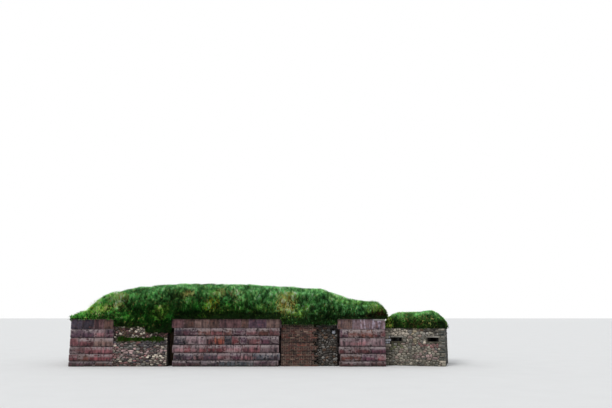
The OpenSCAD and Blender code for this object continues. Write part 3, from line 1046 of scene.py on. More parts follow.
def rounded_stone(
    shape: Array, face: float, relief: float, colour: Colour, rng: np.random.Generator
) -> tuple[Array, Array, Array]:
    """Rounds an outline off into a bedded stone.

    Args:
        shape: The outline's corners along and up the face.
        face: How far the stone's middle stands proud.
        relief: How rough it is.
        colour: Its colour.
        rng: Source of chance.

    Returns:
        Its points on the facade, its faces, and the points' tones.
    """
    spokes = 16
    middle = shape.mean(axis=0)
    angle = np.arange(spokes) * 2 * math.pi / spokes + rng.uniform(0.0, 0.4)
    ray = np.column_stack([np.cos(angle), np.sin(angle)])
    edge = np.roll(shape, -1, axis=0) - shape
    out = np.column_stack([edge[:, 1], -edge[:, 0]])
    room = np.sum((shape - middle) * out, axis=1)
    facing = ray @ out.T
    reach = np.min(np.where(facing > TINY, np.abs(room) / np.maximum(facing, TINY), 9.0), axis=1)
    smooth = (np.roll(reach, 1) + 2 * reach + np.roll(reach, -1)) / 4
    reach = np.minimum(reach, 0.5 * reach + 0.5 * smooth) * rng.uniform(0.96, 1.0, spokes)
    rings = ((1.02, -0.06), (1.02, face - 0.026), (0.97, face - 0.008), (0.72, face))
    dome = min(0.008, reach.mean() * 0.08)
    levels = [
        np.column_stack([middle + ray * (reach * share)[:, None], np.full(spokes, level)])
        for share, level in rings
    ]
    points = np.vstack([*levels, [(*middle, face + dome)]])[:, [0, 2, 1]]
    rough = drift(points + rng.uniform(0.0, 50.0), 0.05, 5)
    points[spokes:, 1] += 1.3 * relief * rough[spokes:]
    tilt = rng.normal(0.0, 0.1, 2)
    points[spokes:, 1] += (points[spokes:, [0, 2]] - middle) @ tilt
    ring = np.arange(spokes)
    after = (ring + 1) % spokes
    faces = []
    for level in range(len(rings) - 1):
        a, b = ring + level * spokes, after + level * spokes
        c, d = b + spokes, a + spokes
        faces += [np.column_stack([a, b, c]), np.column_stack([a, c, d])]
    last = (len(rings) - 1) * spokes
    faces.append(np.column_stack([ring + last, after + last, np.full(spokes, len(rings) * spokes)]))
    tones = even_tones(colour, len(points))
    tones[spokes : 3 * spokes, 3] = 0.45
    # Painted shade on the stone's sides, where they go back into the joint
    tones[: 2 * spokes, :3] *= 0.55
    # Painted shade: each stone is darker towards its foot and lighter towards its top
    share = (points[:, 2] - shape[:, 1].min()) / max(np.ptp(shape[:, 1]), 0.01)
    tones[:, :3] *= (0.72 + 0.4 * ease(share))[:, None]
    return points, np.vstack(faces), tones


RUBBLE_STONE = Grade(
    0.03, (0.026, 0.036, 0.026), 0.01, 0.03, (1, 1), pale_and_lit_top=0.5, painted_foot_shade=0.45
)
BIG_RUBBLE = Grade(
    0.018, (0.03, 0.022, 0.028), 0.006, 0.03, (2, 1), pale_and_lit_top=0.4, painted_foot_shade=0.3
)


@dataclass
class RubbleFace:
    """A face of random rubble over its wall, with squared stones at the wall's corners."""

    name: str
    facade: Facade
    width: float
    top: Callable[[float], float]
    cell: Pair
    tones: tuple[Rubble, ...]
    slot: str
    base: float = 0.0
    joint: Pair = (0.004, 0.009)
    holes: tuple[Edges, ...] = ()
    ends: tuple[End, End] = (End.GAP, End.GAP)
    grade: Grade = RUBBLE_STONE
    finish: Finish = Finish.RUBBLE
    patches: tuple[tuple[float, float, float, float, Rubble], ...] = ()
    shades: Pair = (0.5, 1.4)
    seed: int = 1

    def colour_at(self, u: float, z: float, rng: np.random.Generator) -> Colour:
        """Picks a stone's colour.

        Args:
            u: Its place along the face.
            z: Its height.
            rng: Source of chance.

        Returns:
            A shade of the patch's tone that it is in, mostly, or else of one of the face's own.
        """
        tone = self.tones[rng.integers(len(self.tones))]
        for left, right, low, high, other in self.patches:
            beyond = math.hypot(max(left - u, u - right, 0.0), max(low - z, z - high, 0.0))
            if rng.random() < PATCH_SHARE - PATCH_FADE * beyond:
                tone = other
        return shaded(tone.value, rng.uniform(*self.shades))

    def build(self) -> bpy.types.Object:
        """Lays every stone of the face.

        Returns:
            The piece.
        """
        rng = np.random.default_rng(self.seed)
        heap = Heap()
        taken = [*self.holes, *self.lay_corners(heap, rng)]
        sites = self.sites(rng)
        for number, site in enumerate(sites):
            gap = rng.uniform(*self.joint)
            shape = self.outline(sites, number, gap)
            for hole in taken:
                shape = clear_rectangle(shape, hole, gap)
            if polygon_area(shape) < SMALLEST_STONE:
                continue
            colour = self.colour_at(*site, rng)
            face = self.grade.proud + rng.uniform(-0.012, 0.01)
            points, faces, tones = rounded_stone(shape, face, self.grade.relief, colour, rng)
            heap.add(self.facade.to_world(points), faces, tones)
        return heap.make(self.name, self.finish, self.slot)

    def outline(self, sites: Array, number: int, gap: float) -> Array:
        """Gives the outline of the ground that is nearer to a stone's middle than to any other.

        Args:
            sites: Middle of every stone.
            number: Which stone is meant.
            gap: Half of the joint round it.

        Returns:
            The outline's corners, none for a stone over the top of the wall.
        """
        site, scale = sites[number], np.array(self.cell)
        reach = self.top(site[0])
        if site[1] > reach:
            return np.zeros((0, 2))
        end = self.width
        shape = np.array([(0.0, self.base), (end, self.base), (end, reach), (0.0, reach)])
        away = (sites - site) / scale
        near = np.flatnonzero(np.sum(away**2, axis=1) < NEAR_SQUARED)
        for other in near[near != number]:
            normal = away[other] / scale
            edge = normal @ (sites[other] + site) / 2 - gap * np.linalg.norm(normal)
            shape = cut_away(shape, normal, edge)
        return shape

    def sites(self, rng: np.random.Generator) -> Array:
        """Scatters the middles of the stones: mostly even, with some left out or added.

        Args:
            rng: Source of chance.

        Returns:
            Place of each along the face and up it.
        """
        across, high = self.cell
        top = max(self.top(u) for u in np.linspace(0.0, self.width, 9))
        found = []
        for row, level in enumerate(np.arange(self.base - high / 2, top + high, high)):
            places = np.arange(-across + (row % 2) * across / 2, self.width + across, across)
            found.append(np.column_stack([places, np.full(len(places), level)]))
        sites = np.concatenate(found)
        sites += rng.uniform(-SCATTER, SCATTER, sites.shape) * (across, high)
        sites = sites[rng.random(len(sites)) > LEFT_OUT]
        extras = len(sites) // SITES_TO_AN_EXTRA
        added = rng.uniform((0.0, self.base), (self.width, top), (extras, 2))
        return np.concatenate([sites, added])

    def lay_corners(self, heap: Heap, rng: np.random.Generator) -> list[Edges]:
        """Lays the squared stones of the corners that belong to the face.

        Args:
            heap: Where they go.
            rng: Source of chance.

        Returns:
            The room that they and the neighbours' corner stones take: left, right, low and high.
        """
        taken = []
        for row, (low, high) in enumerate(corner_rows(self.top(0.0))):
            turn = corner_depth(row)
            for side, end in enumerate(self.ends):
                if end is End.GAP:
                    continue
                length = CORNER_STONE - turn if end is End.CORNER else turn
                left = self.width - length if side else 0.0
                right = left + length
                taken.append((left, right, low, high))
                if end is End.CORNER:
                    joint = rng.uniform(*self.joint)
                    block = Block(
                        left + joint if side else -self.grade.proud,
                        right + self.grade.proud if side else right - joint,
                        low + joint, high - joint, turn,
                        self.colour_at((left + right) / 2, (low + high) / 2, rng),
                        proud=rng.uniform(-0.006, 0.008),
                    )
                    lay_block(heap, self.facade, block, self.grade, int(rng.integers(1 << 30)))
        return taken


# Brick


class Brick(Enum):
    """Tones of the bricks."""

    RED = paint(82, 42, 37)
    DARK = paint(44, 31, 30)
    PLUM = paint(62, 37, 40)
    ORANGE = paint(96, 54, 42)
    TAN = paint(112, 92, 80)


BRICK_SHARES = (0.38, 0.28, 0.2, 0.08, 0.06)
BRICK_SHADES = (0.4, 1.5)
COURSE_SHADES = (0.2, 1.25)
SHORTEST_BRICK = 0.05
BRICK = Grade(0.009, (0.006, 0.008, 0.006), 0.003, 0.012, (1, 1), (0.012,))


@dataclass
class BrickPanel:
    """Brickwork whose right edge is toothed, course by course."""

    name: str
    facade: Facade
    length: float
    height: float
    course: float = 0.075
    half: float = 0.112
    depth: float = 0.04
    joint: float = 0.014
    seed: int = 5

    def end(self, row: int) -> float:
        """Gives how far from the panel's left edge a course ends, as in the part's own panel."""
        teeth = math.floor(2.4 * abs(math.sin(math.radians(31 * row))))
        return self.length - (row % 2) * self.half - self.half * teeth

    def build(self) -> bpy.types.Object:
        """Lays every brick: two courses of stretchers to each course of headers.

        Returns:
            The piece.
        """
        rng = np.random.default_rng(self.seed)
        heap = Heap()
        tones = list(Brick)
        for row in range(int(self.height / self.course)):
            end = self.end(row)
            headers = row % 3 == 2
            course = rng.uniform(*COURSE_SHADES)
            step = self.half if headers else 2 * self.half
            here = -self.half if row % 2 and not headers else 0.0
            while here < end:
                left, right = max(here, 0.0), min(here + step, end)
                here += step
                if right - left < SHORTEST_BRICK:
                    continue
                tone = tones[rng.choice(len(tones), p=BRICK_SHARES)].value
                shade = course * rng.uniform(*BRICK_SHADES)
                low = row * self.course
                block = Block(
                    left + self.joint / 2, right - self.joint / 2, low + self.joint / 2,
                    low + self.course - self.joint / 2, self.depth, shaded(tone, shade),
                    proud=rng.uniform(-0.004, 0.004), tilt=rng.normal(0.0, 0.006),
                )
                lay_block(heap, self.facade, block, BRICK, row * 97 + int(here * 100))
        return heap.make(self.name, Finish.BRICK, "brick")


# Single worn stones


INTO_FACADE = (1.0, -1.0, 1.0)


@dataclass
class Slab:
    """A worn slab or bar, closed all round."""

    low: Place
    high: Place
    radius: float = 0.012
    relief: float = 0.004
    cell: float = 0.07

    def points_and_faces(self, seed: int) -> tuple[Array, Array]:
        """Shapes the slab in its own frame.

        Args:
            seed: Makes its wear its own.

        Returns:
            Its points and its faces.
        """
        low, high = np.array(self.low), np.array(self.high)
        lines = []
        for a, b in zip(low, high, strict=True):
            cells = max(1, round((b - a - 2 * self.radius) / self.cell))
            inner = np.linspace(a + self.radius, b - self.radius, cells + 1)
            lines.append(np.array([a, *inner, b]))
        places, quads = block_lattice(*(len(line) - 1 for line in lines), closed=True)
        points = np.column_stack([lines[axis][places[:, axis]] for axis in range(3)])
        radius = self.radius * (1.0 + 0.6 * drift(points, 0.09, seed))[:, None]
        points = round_off(points, low, high, radius)
        for axis in range(3):
            points[:, axis] += self.relief * drift(points, 0.1, seed + axis + 1)
        return points, quads


def lay_slabs(
    name: str, facade: Facade, slabs: Sequence[Slab], finish: Finish, slot: str, seed: int
) -> bpy.types.Object:
    """Makes one piece of slabs that are given along, into and up a facade.

    Args:
        name: The piece's name.
        facade: The facade.
        slabs: The slabs.
        finish: What they wear.
        slot: The record's material slot that they belong to.
        seed: Makes their wear their own.

    Returns:
        The piece.
    """
    heap = Heap()
    for number, slab in enumerate(slabs):
        points, quads = slab.points_and_faces(seed + number)
        tones = even_tones(Rubble.CHALK.value, len(points))
        heap.add(facade.to_world(points * INTO_FACADE), quads, tones)
    return heap.make(name, finish, slot)


# Turf


class Blade(Enum):
    """Tones of the grass."""

    DEEP = paint(30, 92, 22)
    LEAF = paint(80, 146, 44)
    BRIGHT = paint(160, 204, 72)
    BLUE = paint(118, 190, 116)
    STRAW = paint(232, 208, 128)
    RUSSET = paint(120, 92, 58)
    YELLOW = paint(232, 204, 48)
    ROOTS = paint(66, 40, 32)
    HAY = paint(206, 166, 84)

    @property
    def rgb(self) -> Array:
        """The tone's linear red, green and blue."""
        return np.array(self.value[:3])


def stand_blades(base: Array, middle: Array, tip: Array, turn: Array, width: Array) -> Array:
    """Gives blades their width.

    Args:
        base: Where each blade grows.
        middle: Where it bends.
        tip: Where it ends.
        turn: Which way it faces.
        width: Half of its width.

    Returns:
        Five points of each blade: two at its root, two at its bend and its tip.
    """
    side = np.column_stack([np.cos(turn), np.sin(turn), np.zeros(len(turn))]) * width[:, None]
    bend = 0.8 * side
    return np.stack([base - side, base + side, middle - bend, middle + bend, tip], axis=1)


# Painted light along each blade: painted shade at its root, painted highlight at its tip
BLADE_LIGHT = (0.3, 0.3, 0.85, 0.85, 1.25)
BLADE_MAP = ((0.1, 0.06), (0.9, 0.06), (0.16, 0.55), (0.84, 0.55), (0.5, 0.96))


def lay_blades(heap: Heap, points: Array, colours: Array) -> None:
    """Adds blades, each with its own cell of the texture map.

    Args:
        heap: Where they go.
        points: Five points of each blade, as stand_blades gives them.
        colours: Linear colour of each blade.
    """
    count = len(colours)
    tones = np.ones((count, 5, 4))
    tones[:, :, :3] = colours[:, None, :] * np.array(BLADE_LIGHT)[:, None]
    first = np.arange(count)[:, None] * 5
    lower, upper = first + np.array([0, 1, 3, 2]), first + np.array([2, 3, 4])
    heap.corners.append((upper + heap.total).ravel())
    heap.counts.append(np.full(count, 3))
    heap.add(points, lower, tones.reshape(-1, 4))
    rows = math.ceil(math.sqrt(count))
    number = np.arange(count)
    cell = np.stack([number % rows, number // rows], axis=1)[:, None, :]
    shape = np.array(BLADE_MAP)
    heap.maps.append(((cell + shape[[2, 3, 4]]) / rows).reshape(-1, 2))
    heap.maps.append(((cell + shape[[0, 1, 3, 2]]) / rows).reshape(-1, 2))


@dataclass(frozen=True)
class Patch:
    """A round patch of other grass: its middle, its reach, how much of it is there and its tone."""

    centre: Place
    reach: float
    share: float
    tone: Blade = Blade.STRAW

    def share_at(self, points: Array) -> Array:
        """Gives the patch's share at each place, which fades to 0 outside it."""
        distance = np.linalg.norm((points - np.array(self.centre)) * (1.0, 0.5, 1.0), axis=1)
        return self.share * ease(1.5 - distance / self.reach)


@dataclass(frozen=True)
class Drape:
    """Where the grass may hang down over a wall: a span along X and the lowest level there."""

    left: float
    right: float
    level: float


@dataclass(frozen=True)
class Shade:
    """Painted shade along the turf's foot: a span along X, how light it is and how high it goes."""

    left: float
    right: float
    light: float
    rise: float


SHORTEST_BLADE = 0.05
MOST_PROUD = (0.5, 0.17, 0.11)
LOCK_CELL = (0.075, 0.1, 0.2)
SEED_HEAD = (0.011, 0.011, 0.09)
FLOWER_HEAD = (0.026, 0.026, 0.02)


@dataclass
class TurfBlanket:
    """A bank's turf: matted old grass and roots, with grass growing out of it in tussocks."""

    node: str
    name: str
    outline: Facade
    size: Pair
    blades: int
    parts: int
    sink: float
    length: Pair
    rim_z: float
    crest_z: float
    edge_sink: float = 0.05
    reach: float = 0.11
    hang: float = 0.13
    shade: tuple[Shade, ...] = ()
    tall: tuple[Patch, ...] = ()
    tints: tuple[Patch, ...] = ()
    glow: tuple[Patch, ...] = ()
    blooms: tuple[Patch, ...] = ()
    drapes: tuple[Drape, ...] = ()
    bare: tuple[Edges, ...] = ()
    seed: int = 11
    tussock: float = 0.55
    contrast: float = 0.8

    def surface(self) -> tuple[Array, Array, Array]:
        """Reads the turf's solid from the frame.

        Returns:
            Its points, each joined from its copies, its triangles and its points' soft normals.
        """
        mesh = frame["nodes"][self.node].data
        mesh.calc_loop_triangles()
        raw = np.empty(len(mesh.vertices) * 3)
        mesh.vertices.foreach_get("co", raw)
        numbers = np.empty(len(mesh.loop_triangles) * 3, np.int32)
        mesh.loop_triangles.foreach_get("vertices", numbers)
        places, first, joined = np.unique(
            np.round(raw.reshape(-1, 3), 4), axis=0, return_index=True, return_inverse=True
        )
        points = raw.reshape(-1, 3)[first]
        triangles = joined.ravel()[numbers].reshape(-1, 3)
        normals = np.zeros_like(points)
        cross = face_normals(points, triangles)
        for corner in range(3):
            np.add.at(normals, triangles[:, corner], cross)
        return points, triangles, unit(normals)

    def inset(self, points: Array) -> Array:
        """Gives each place's distance inside the turf's outline.

        Args:
            points: Places in the part's frame.

        Returns:
            Distances, 0 at the outline.
        """
        turn = math.radians(self.outline.heading)
        x = points[:, 0] - self.outline.corner[0]
        y = points[:, 1] - self.outline.corner[1]
        u = x * math.cos(turn) + y * math.sin(turn)
        v = y * math.cos(turn) - x * math.sin(turn)
        across = np.minimum(u, self.size[0] - u)
        return np.maximum(np.minimum(across, np.minimum(v, self.size[1] - v)), 0.0)

    def sunk(self, points: Array, normals: Array) -> Array:
        """Lowers places on the turf's solid to the mat that the grass grows from."""
        depth = self.edge_sink + (self.sink - self.edge_sink) * ease(self.inset(points) / 0.45)
        return points - normals * (depth * (normals[:, 2] > -0.3))[:, None]

    def build(self) -> list[bpy.types.Object]:
        """Makes the mat and the grass.

        Returns:
            Every piece of the blanket.
        """
        points, triangles, normals = self.surface()
        mat = Heap()
        fine_points, fine_triangles, fine_normals = split_triangles(points, triangles, normals)
        _, share, own = self.tussocks(fine_points)
        rise = (0.06 + 0.1 * own) * (0.6 - share) * (fine_normals[:, 2] > 0.25)
        mat.add(
            self.sunk(fine_points, fine_normals) + fine_normals * rise[:, None],
            fine_triangles, even_tones(Blade.DEEP.value, len(fine_points)),
        )
        base = mat.make(f"{self.name}_mat", Finish.THATCH, "turf")
        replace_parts(base, self.node)
        pieces = [base]
        roots, out = self.roots(points, triangles, normals)
        order = np.argsort(roots[:, 0], kind="stable")
        for number, part in enumerate(np.array_split(order, self.parts)):
            heap = Heap()
            self.grow(heap, roots[part], out[part], self.seed + 100 * number)
            pieces.append(heap.make(f"{self.name}_grass_{number}", Finish.BLADES, "turf", False))
        if self.blooms:
            pieces.append(self.flower(roots, out))
        return pieces

    def flower(self, roots: Array, out: Array) -> bpy.types.Object:
        """Sets flower heads and seed heads over the grass of the blooming patches.

        Args:
            roots: Places on the turf's solid.
            out: Its soft normals there.

        Returns:
            The piece.
        """
        rng = np.random.default_rng(self.seed + 3)
        ring = np.linspace(0.0, 2 * math.pi, 7)[:6]
        disc = np.column_stack([np.cos(ring), np.sin(ring), np.full(6, 0.35)])
        disc = np.vstack([(0.0, 0.0, 0.0), disc, (0.0, 0.0, -0.2)])
        faces = np.array(
            [(0, n, n % 6 + 1) for n in range(1, 7)] + [(7, n % 6 + 1, n) for n in range(1, 7)]
        )
        heap = Heap()
        for patch in self.blooms:
            chosen = np.flatnonzero(rng.random(len(roots)) < patch.share_at(roots))
            is_seed = patch.tone is Blade.STRAW
            size = SEED_HEAD if is_seed else FLOWER_HEAD
            for number in chosen:
                turn = rng.normal(0.0, 0.35, 2)
                shape = disc * size * rng.uniform(0.7, 1.2)
                if is_seed:
                    shape[:, 2] -= size[2] / 2
                shape[:, :2] += turn * shape[:, 2:]
                head = roots[number] + out[number] * rng.uniform(0.2, 0.8) * self.reach
                tone = shaded(patch.tone.value, rng.uniform(0.75, 1.1))
                heap.add(head + shape, faces, even_tones(tone, len(disc)))
        return heap.make(f"{self.name}_heads", Finish.HEADS, "turf", False)

    def lowest(self, roots: Array) -> Array:
        """Gives the lowest level that a blade's tip may hang to.

        Args:
            roots: Where the blades grow.

        Returns:
            Heights above the ground.
        """
        level = np.full(len(roots), self.rim_z - self.hang)
        for drape in self.drapes:
            inside = (roots[:, 0] > drape.left) & (roots[:, 0] < drape.right)
            level = np.where(inside, drape.level, level)
        strands = ease(1.6 * drift(roots, (0.09, 0.5, 0.9), self.seed + 18) - 0.4)
        return level + 0.05 * drift(roots, 0.3, self.seed + 17) - 0.11 * strands

    def roots(self, points: Array, triangles: Array, normals: Array) -> tuple[Array, Array]:
        """Scatters the places where blades grow.

        Args:
            points: The solid's points.
            triangles: Its triangles.
            normals: Its soft normals.

        Returns:
            Places on the solid, and the soft normal at each.
        """
        rng = np.random.default_rng(self.seed)
        cross = face_normals(points, triangles)
        area = np.linalg.norm(cross, axis=1)
        up = cross[:, 2] / np.maximum(area, TINY)
        weight = area * (up > -0.25) * np.where(up < 0.4, 1.5, 1.0)
        chosen = rng.choice(len(triangles), self.blades, p=weight / weight.sum())
        s, t = rng.random(self.blades), rng.random(self.blades)
        fold = s + t > 1.0
        s, t = np.where(fold, 1 - s, s)[:, None], np.where(fold, 1 - t, t)[:, None]
        first, second, third = triangles[chosen].T
        place, out = (
            v[first] * (1 - s - t) + v[second] * s + v[third] * t for v in (points, normals)
        )
        kept = np.ones(self.blades, bool)
        for left, front, right, rear in self.bare:
            x, y = place[:, 0], place[:, 1]
            kept &= ~((x > left) & (x < right) & (y > front) & (y < rear))
        return place[kept], unit(out[kept])

    def tussocks(self, points: Array) -> tuple[Array, Array, Array]:
        """Finds the tussock that each blade belongs to.

        Args:
            points: Where the blades grow.

        Returns:
            Level offset from the tussock's middle, its length as a share of the tussock, and the
            tussock's own number from 0 to 1.
        """
        cell = np.floor(points / self.tussock)
        best = np.full(len(points), 1e9)
        offset = np.zeros((len(points), 3))
        own = np.zeros(len(points))
        for step in itertools.product((-1, 0, 1), repeat=3):
            there = cell + step
            jitter = [lattice_chance(there, self.seed + axis) for axis in (1, 2, 3)]
            middle = (there + 0.15 + 0.7 * np.column_stack(jitter)) * self.tussock
            away = points - middle
            distance = np.linalg.norm(away, axis=1)
            nearer = distance < best
            best = np.where(nearer, distance, best)
            offset = np.where(nearer[:, None], away, offset)
            own = np.where(nearer, lattice_chance(there, self.seed + 7), own)
        return offset * (1.0, 1.0, 0.0) / self.tussock, best / self.tussock, own

    def grow(self, heap: Heap, roots: Array, out: Array, seed: int) -> None:
        """Grows a bent blade on each root.

        Args:
            heap: Where the blades go.
            roots: Places on the turf's solid.
            out: Its soft normals there.
            seed: Makes the blades their own.
        """
        rng = np.random.default_rng(seed)
        count = len(roots)
        offset, share, own = self.tussocks(roots)
        hollow = ease(1.7 * share - 0.25)
        steep = 1.0 - np.clip(out[:, 2], 0.0, 1.0)
        level = out * (1.0, 1.0, 0.0)
        up = np.array([0.0, 0.0, 1.0])
        lump = drift(roots, 1.1, self.seed + 30)
        lean = np.column_stack([drift(roots, 0.2, self.seed + n) for n in (31, 32, 33)])
        fringe = 0.9 * ease(steep * 2.0 - 0.9) * ease(0.4 + drift(roots, 0.28, self.seed + 9))
        length = rng.uniform(*self.length, count) * (1.25 - 0.6 * hollow) * (0.75 + 0.5 * own)
        length *= 1.0 + fringe
        # A blade leans out of the bank and away from its tussock's middle, then bends down
        grow = 0.55 * out + up * (0.75 - 0.75 * steep)[:, None] + 0.9 * offset + 0.45 * lean
        grow = unit(grow + rng.normal(0.0, 0.16, (count, 3)))
        bend = rng.uniform(0.35, 1.1, count) + 1.6 * steep
        droop = 0.7 * level - up * (0.55 + 0.7 * steep)[:, None] + 0.5 * offset
        fall = unit(grow + bend[:, None] * droop)
        # Its tip stays within the reach of its tussock's crown over the turf's solid
        base = self.sunk(roots, out) + out * (0.09 * (1.0 - hollow) * (0.3 + 0.7 * own))[:, None]
        whole = 0.55 * grow + 0.5 * fall
        crown = (0.1 + 0.9 * own) * (1.0 - 0.8 * hollow) + 0.5 * lump
        extra = sum((patch.share_at(roots) for patch in self.tall), np.zeros(count))
        reach = self.reach * np.clip(crown, -0.6, 1.0) * (1.0 - 0.45 * steep) + extra
        length += 1.3 * extra
        room = np.sum((roots - base) * out, axis=1) + reach * rng.uniform(0.7, 1.0, count)
        length = np.minimum(length, room / np.maximum(np.sum(whole * out, axis=1), 0.05))
        high = roots[:, 2] + self.reach + extra - base[:, 2]
        length = np.minimum(length, high / np.maximum(whole[:, 2], 0.05))
        length = np.maximum(length, SHORTEST_BLADE)
        middle = base + grow * (0.55 * length)[:, None]
        tip = middle + fall * (0.5 * length)[:, None]
        # On a steep side it hangs no lower than the turf does over that wall
        floor = self.lowest(roots) + rng.uniform(-0.02, 0.03, count)
        for joint in (base, middle, tip):
            joint[:, 2] = np.where(steep > 0.3, np.maximum(joint[:, 2], floor), joint[:, 2])
        turn = rng.uniform(0.0, math.pi, count)
        points = stand_blades(base, middle, tip, turn, rng.uniform(0.006, 0.0105, count))
        low, high = (np.array(v) for v in SOLIDS)
        points = np.clip(points, low - (*MOST_PROUD[:2], 0.0), high + MOST_PROUD)
        colour = self.colours(rng, roots, hollow, own, steep)
        lay_blades(heap, points.reshape(-1, 3), colour)

    def colours(
        self, rng: np.random.Generator, roots: Array, hollow: Array, own: Array, steep: Array
    ) -> Array:
        """Colours the blades.

        Args:
            rng: Source of chance.
            roots: Where they grow.
            hollow: 0 on a tussock and 1 in the hollows between them.
            own: Its tussock's own number.
            steep: How steep the bank is there.

        Returns:
            Linear colour of each blade.
        """
        patch = drift(roots, 1.5, self.seed + 20)
        fine = drift(roots, 0.33, self.seed + 21)
        cell = np.floor((roots + 0.05 * hollow[:, None]) / LOCK_CELL)
        lock = lattice_chance(cell, self.seed + 12)
        lift = ease((roots[:, 2] - self.rim_z) / (self.crest_z - self.rim_z))[:, None]
        # Greens, yellower in drifts and bluer towards the crest: a little blue everywhere, and
        # painted sky light rising towards the crest
        mix = np.clip(0.4 + 0.5 * patch + 0.35 * fine + 0.8 * (own - 0.5), 0.0, 1.0)[:, None]
        colour = Blade.DEEP.rgb * (1 - mix) + Blade.LEAF.rgb * mix
        yellow = ease((drift(roots, 0.9, self.seed + 22) - 0.05) * 1.8)[:, None] * 0.55
        colour = colour * (1 - yellow) + Blade.BRIGHT.rgb * yellow
        painted_sky_light = 0.1 + 0.62 * lift**1.5
        colour = colour * (1 - painted_sky_light) + Blade.BLUE.rgb * painted_sky_light
        # Dry and old blades, and the patches of other grass
        is_dry = (rng.random(len(roots)) < 0.03 + 0.25 * (lock > 0.94))[:, None]
        colour = np.where(is_dry, Blade.STRAW.rgb * (0.45 + 0.3 * mix), colour)
        is_old = (rng.random(len(roots)) < 0.03 + 0.06 * steep)[:, None]
        colour = np.where(is_old & ~is_dry, Blade.RUSSET.rgb, colour)
        for area in self.tints:
            tinted = (rng.random(len(roots)) < area.share_at(roots))[:, None]
            colour = np.where(tinted, area.tone.rgb, colour)
        # Light and dark locks, hanging strands and tussocks, and painted shade along the foot
        locks = 1.0 + self.contrast * (2.7 * lock**2 - 0.9)
        hanging = drift(roots, (0.1, 0.4, 0.42), self.seed + 23)
        shade = rng.uniform(0.8, 1.2, len(roots)) * locks * (1.0 + 0.8 * hanging)
        # Painted shade in the hollows between tussocks; each tussock and drift has its own
        # lightness
        shade *= (1.35 - 0.7 * hollow) * (0.86 + 0.34 * own) * (1.34 + 0.34 * patch + 0.46 * fine)
        for area in self.glow:
            shade *= 1.0 + area.share_at(roots)
        above = roots[:, 2] - self.lowest(roots)
        low = np.ones(len(roots))
        for foot in self.shade:
            middle, half = (foot.left + foot.right) / 2, (foot.right - foot.left) / 2
            share = ease((half - np.abs(roots[:, 0] - middle)) / 0.3 + 0.5)
            dark = (1.0 - foot.light) * share * ease(1.6 - (above - self.hang) / foot.rise)
            low = np.minimum(low, 1.0 - dark)
        return np.minimum(colour * (shade * low)[:, None], 0.95)


def face_normals(points: Array, triangles: Array) -> Array:
    """Gives each triangle's normal, whose length is twice the triangle's area."""
    first, second, third = (points[triangles[:, corner]] for corner in range(3))
    return np.cross(second - first, third - first)


def split_triangles(points: Array, triangles: Array, normals: Array) -> tuple[Array, Array, Array]:
    """Cuts every triangle into four.

    Args:
        points: Points of the mesh.
        triangles: Its triangles.
        normals: Normal of each point.

    Returns:
        The finer mesh's points, triangles and normals.
    """
    edges = np.sort(triangles[:, [0, 1, 1, 2, 2, 0]].reshape(-1, 2), axis=1)
    pairs, numbers = np.unique(edges, axis=0, return_inverse=True)
    middles = numbers.reshape(-1, 3) + len(points)
    a, b, c = triangles.T
    ab, bc, ca = middles.T
    finer = np.concatenate(
        [np.column_stack(t) for t in ((a, ab, ca), (ab, b, bc), (ca, bc, c), (ab, bc, ca))]
    )
    every = np.concatenate([normals, normals[pairs].sum(axis=1)])
    return np.concatenate([points, points[pairs].mean(axis=1)]), finer, unit(every)


@dataclass
class LedgeTufts:
    """Short grass rooted along a ledge in the masonry."""

    name: str
    facade: Facade
    span: Pair
    rear: float
    height: float
    blades: int
    length: Pair = (0.14, 0.32)
    reach: float = 0.16
    width: float = 0.006
    seed: int = 81

    def build(self) -> bpy.types.Object:
        """Grows the tufts.

        Returns:
            The piece.
        """
        rng = np.random.default_rng(self.seed)
        u = rng.uniform(*self.span, self.blades)
        bunch = drift(u[:, None] * (1.0, 0.0, 0.0), 0.22, self.seed)
        kept = rng.random(self.blades) < ease(1.2 + 0.35 * bunch)
        u, bunch = u[kept], bunch[kept]
        count = len(u)
        back = -rng.uniform(0.0, self.rear, count)
        base = np.column_stack([u, back, np.full(count, self.height)])
        length = rng.uniform(*self.length, count) * (0.92 + 0.25 * bunch)
        grow = rng.normal(0.0, 0.25, (count, 3)) + (0.0, 0.25, 0.9)
        droop = -rng.uniform(0.8, 2.6, count)
        fall = grow + np.column_stack([rng.normal(0, 0.3, count), np.full(count, 0.15), droop])
        middle = base + grow * (0.5 * length)[:, None]
        tip = middle + fall * (0.45 * length)[:, None]
        turn = rng.uniform(0.0, math.pi, count)
        points = stand_blades(base, middle, tip, turn, np.full(count, self.width))
        points[:, :, 1] = np.minimum(points[:, :, 1], self.reach)
        mix = rng.random(count)[:, None] ** 2
        colour = Blade.DEEP.rgb * (1 - mix) + Blade.LEAF.rgb * mix
        lock = lattice_chance(np.floor(base / (0.06, 9.0, 9.0)), self.seed + 1)
        colour *= ((0.15 + 0.6 * lock) * rng.uniform(0.7, 1.3, count))[:, None]
        old = rng.random(count) < 0.22
        colour[old] = Blade.RUSSET.rgb * (0.15 + 0.5 * lock[old])[:, None]
        heap = Heap()
        lay_blades(heap, self.facade.to_world(points.reshape(-1, 3)), colour)
        return heap.make(self.name, Finish.BLADES, "turf", False)


# Sub-assemblies


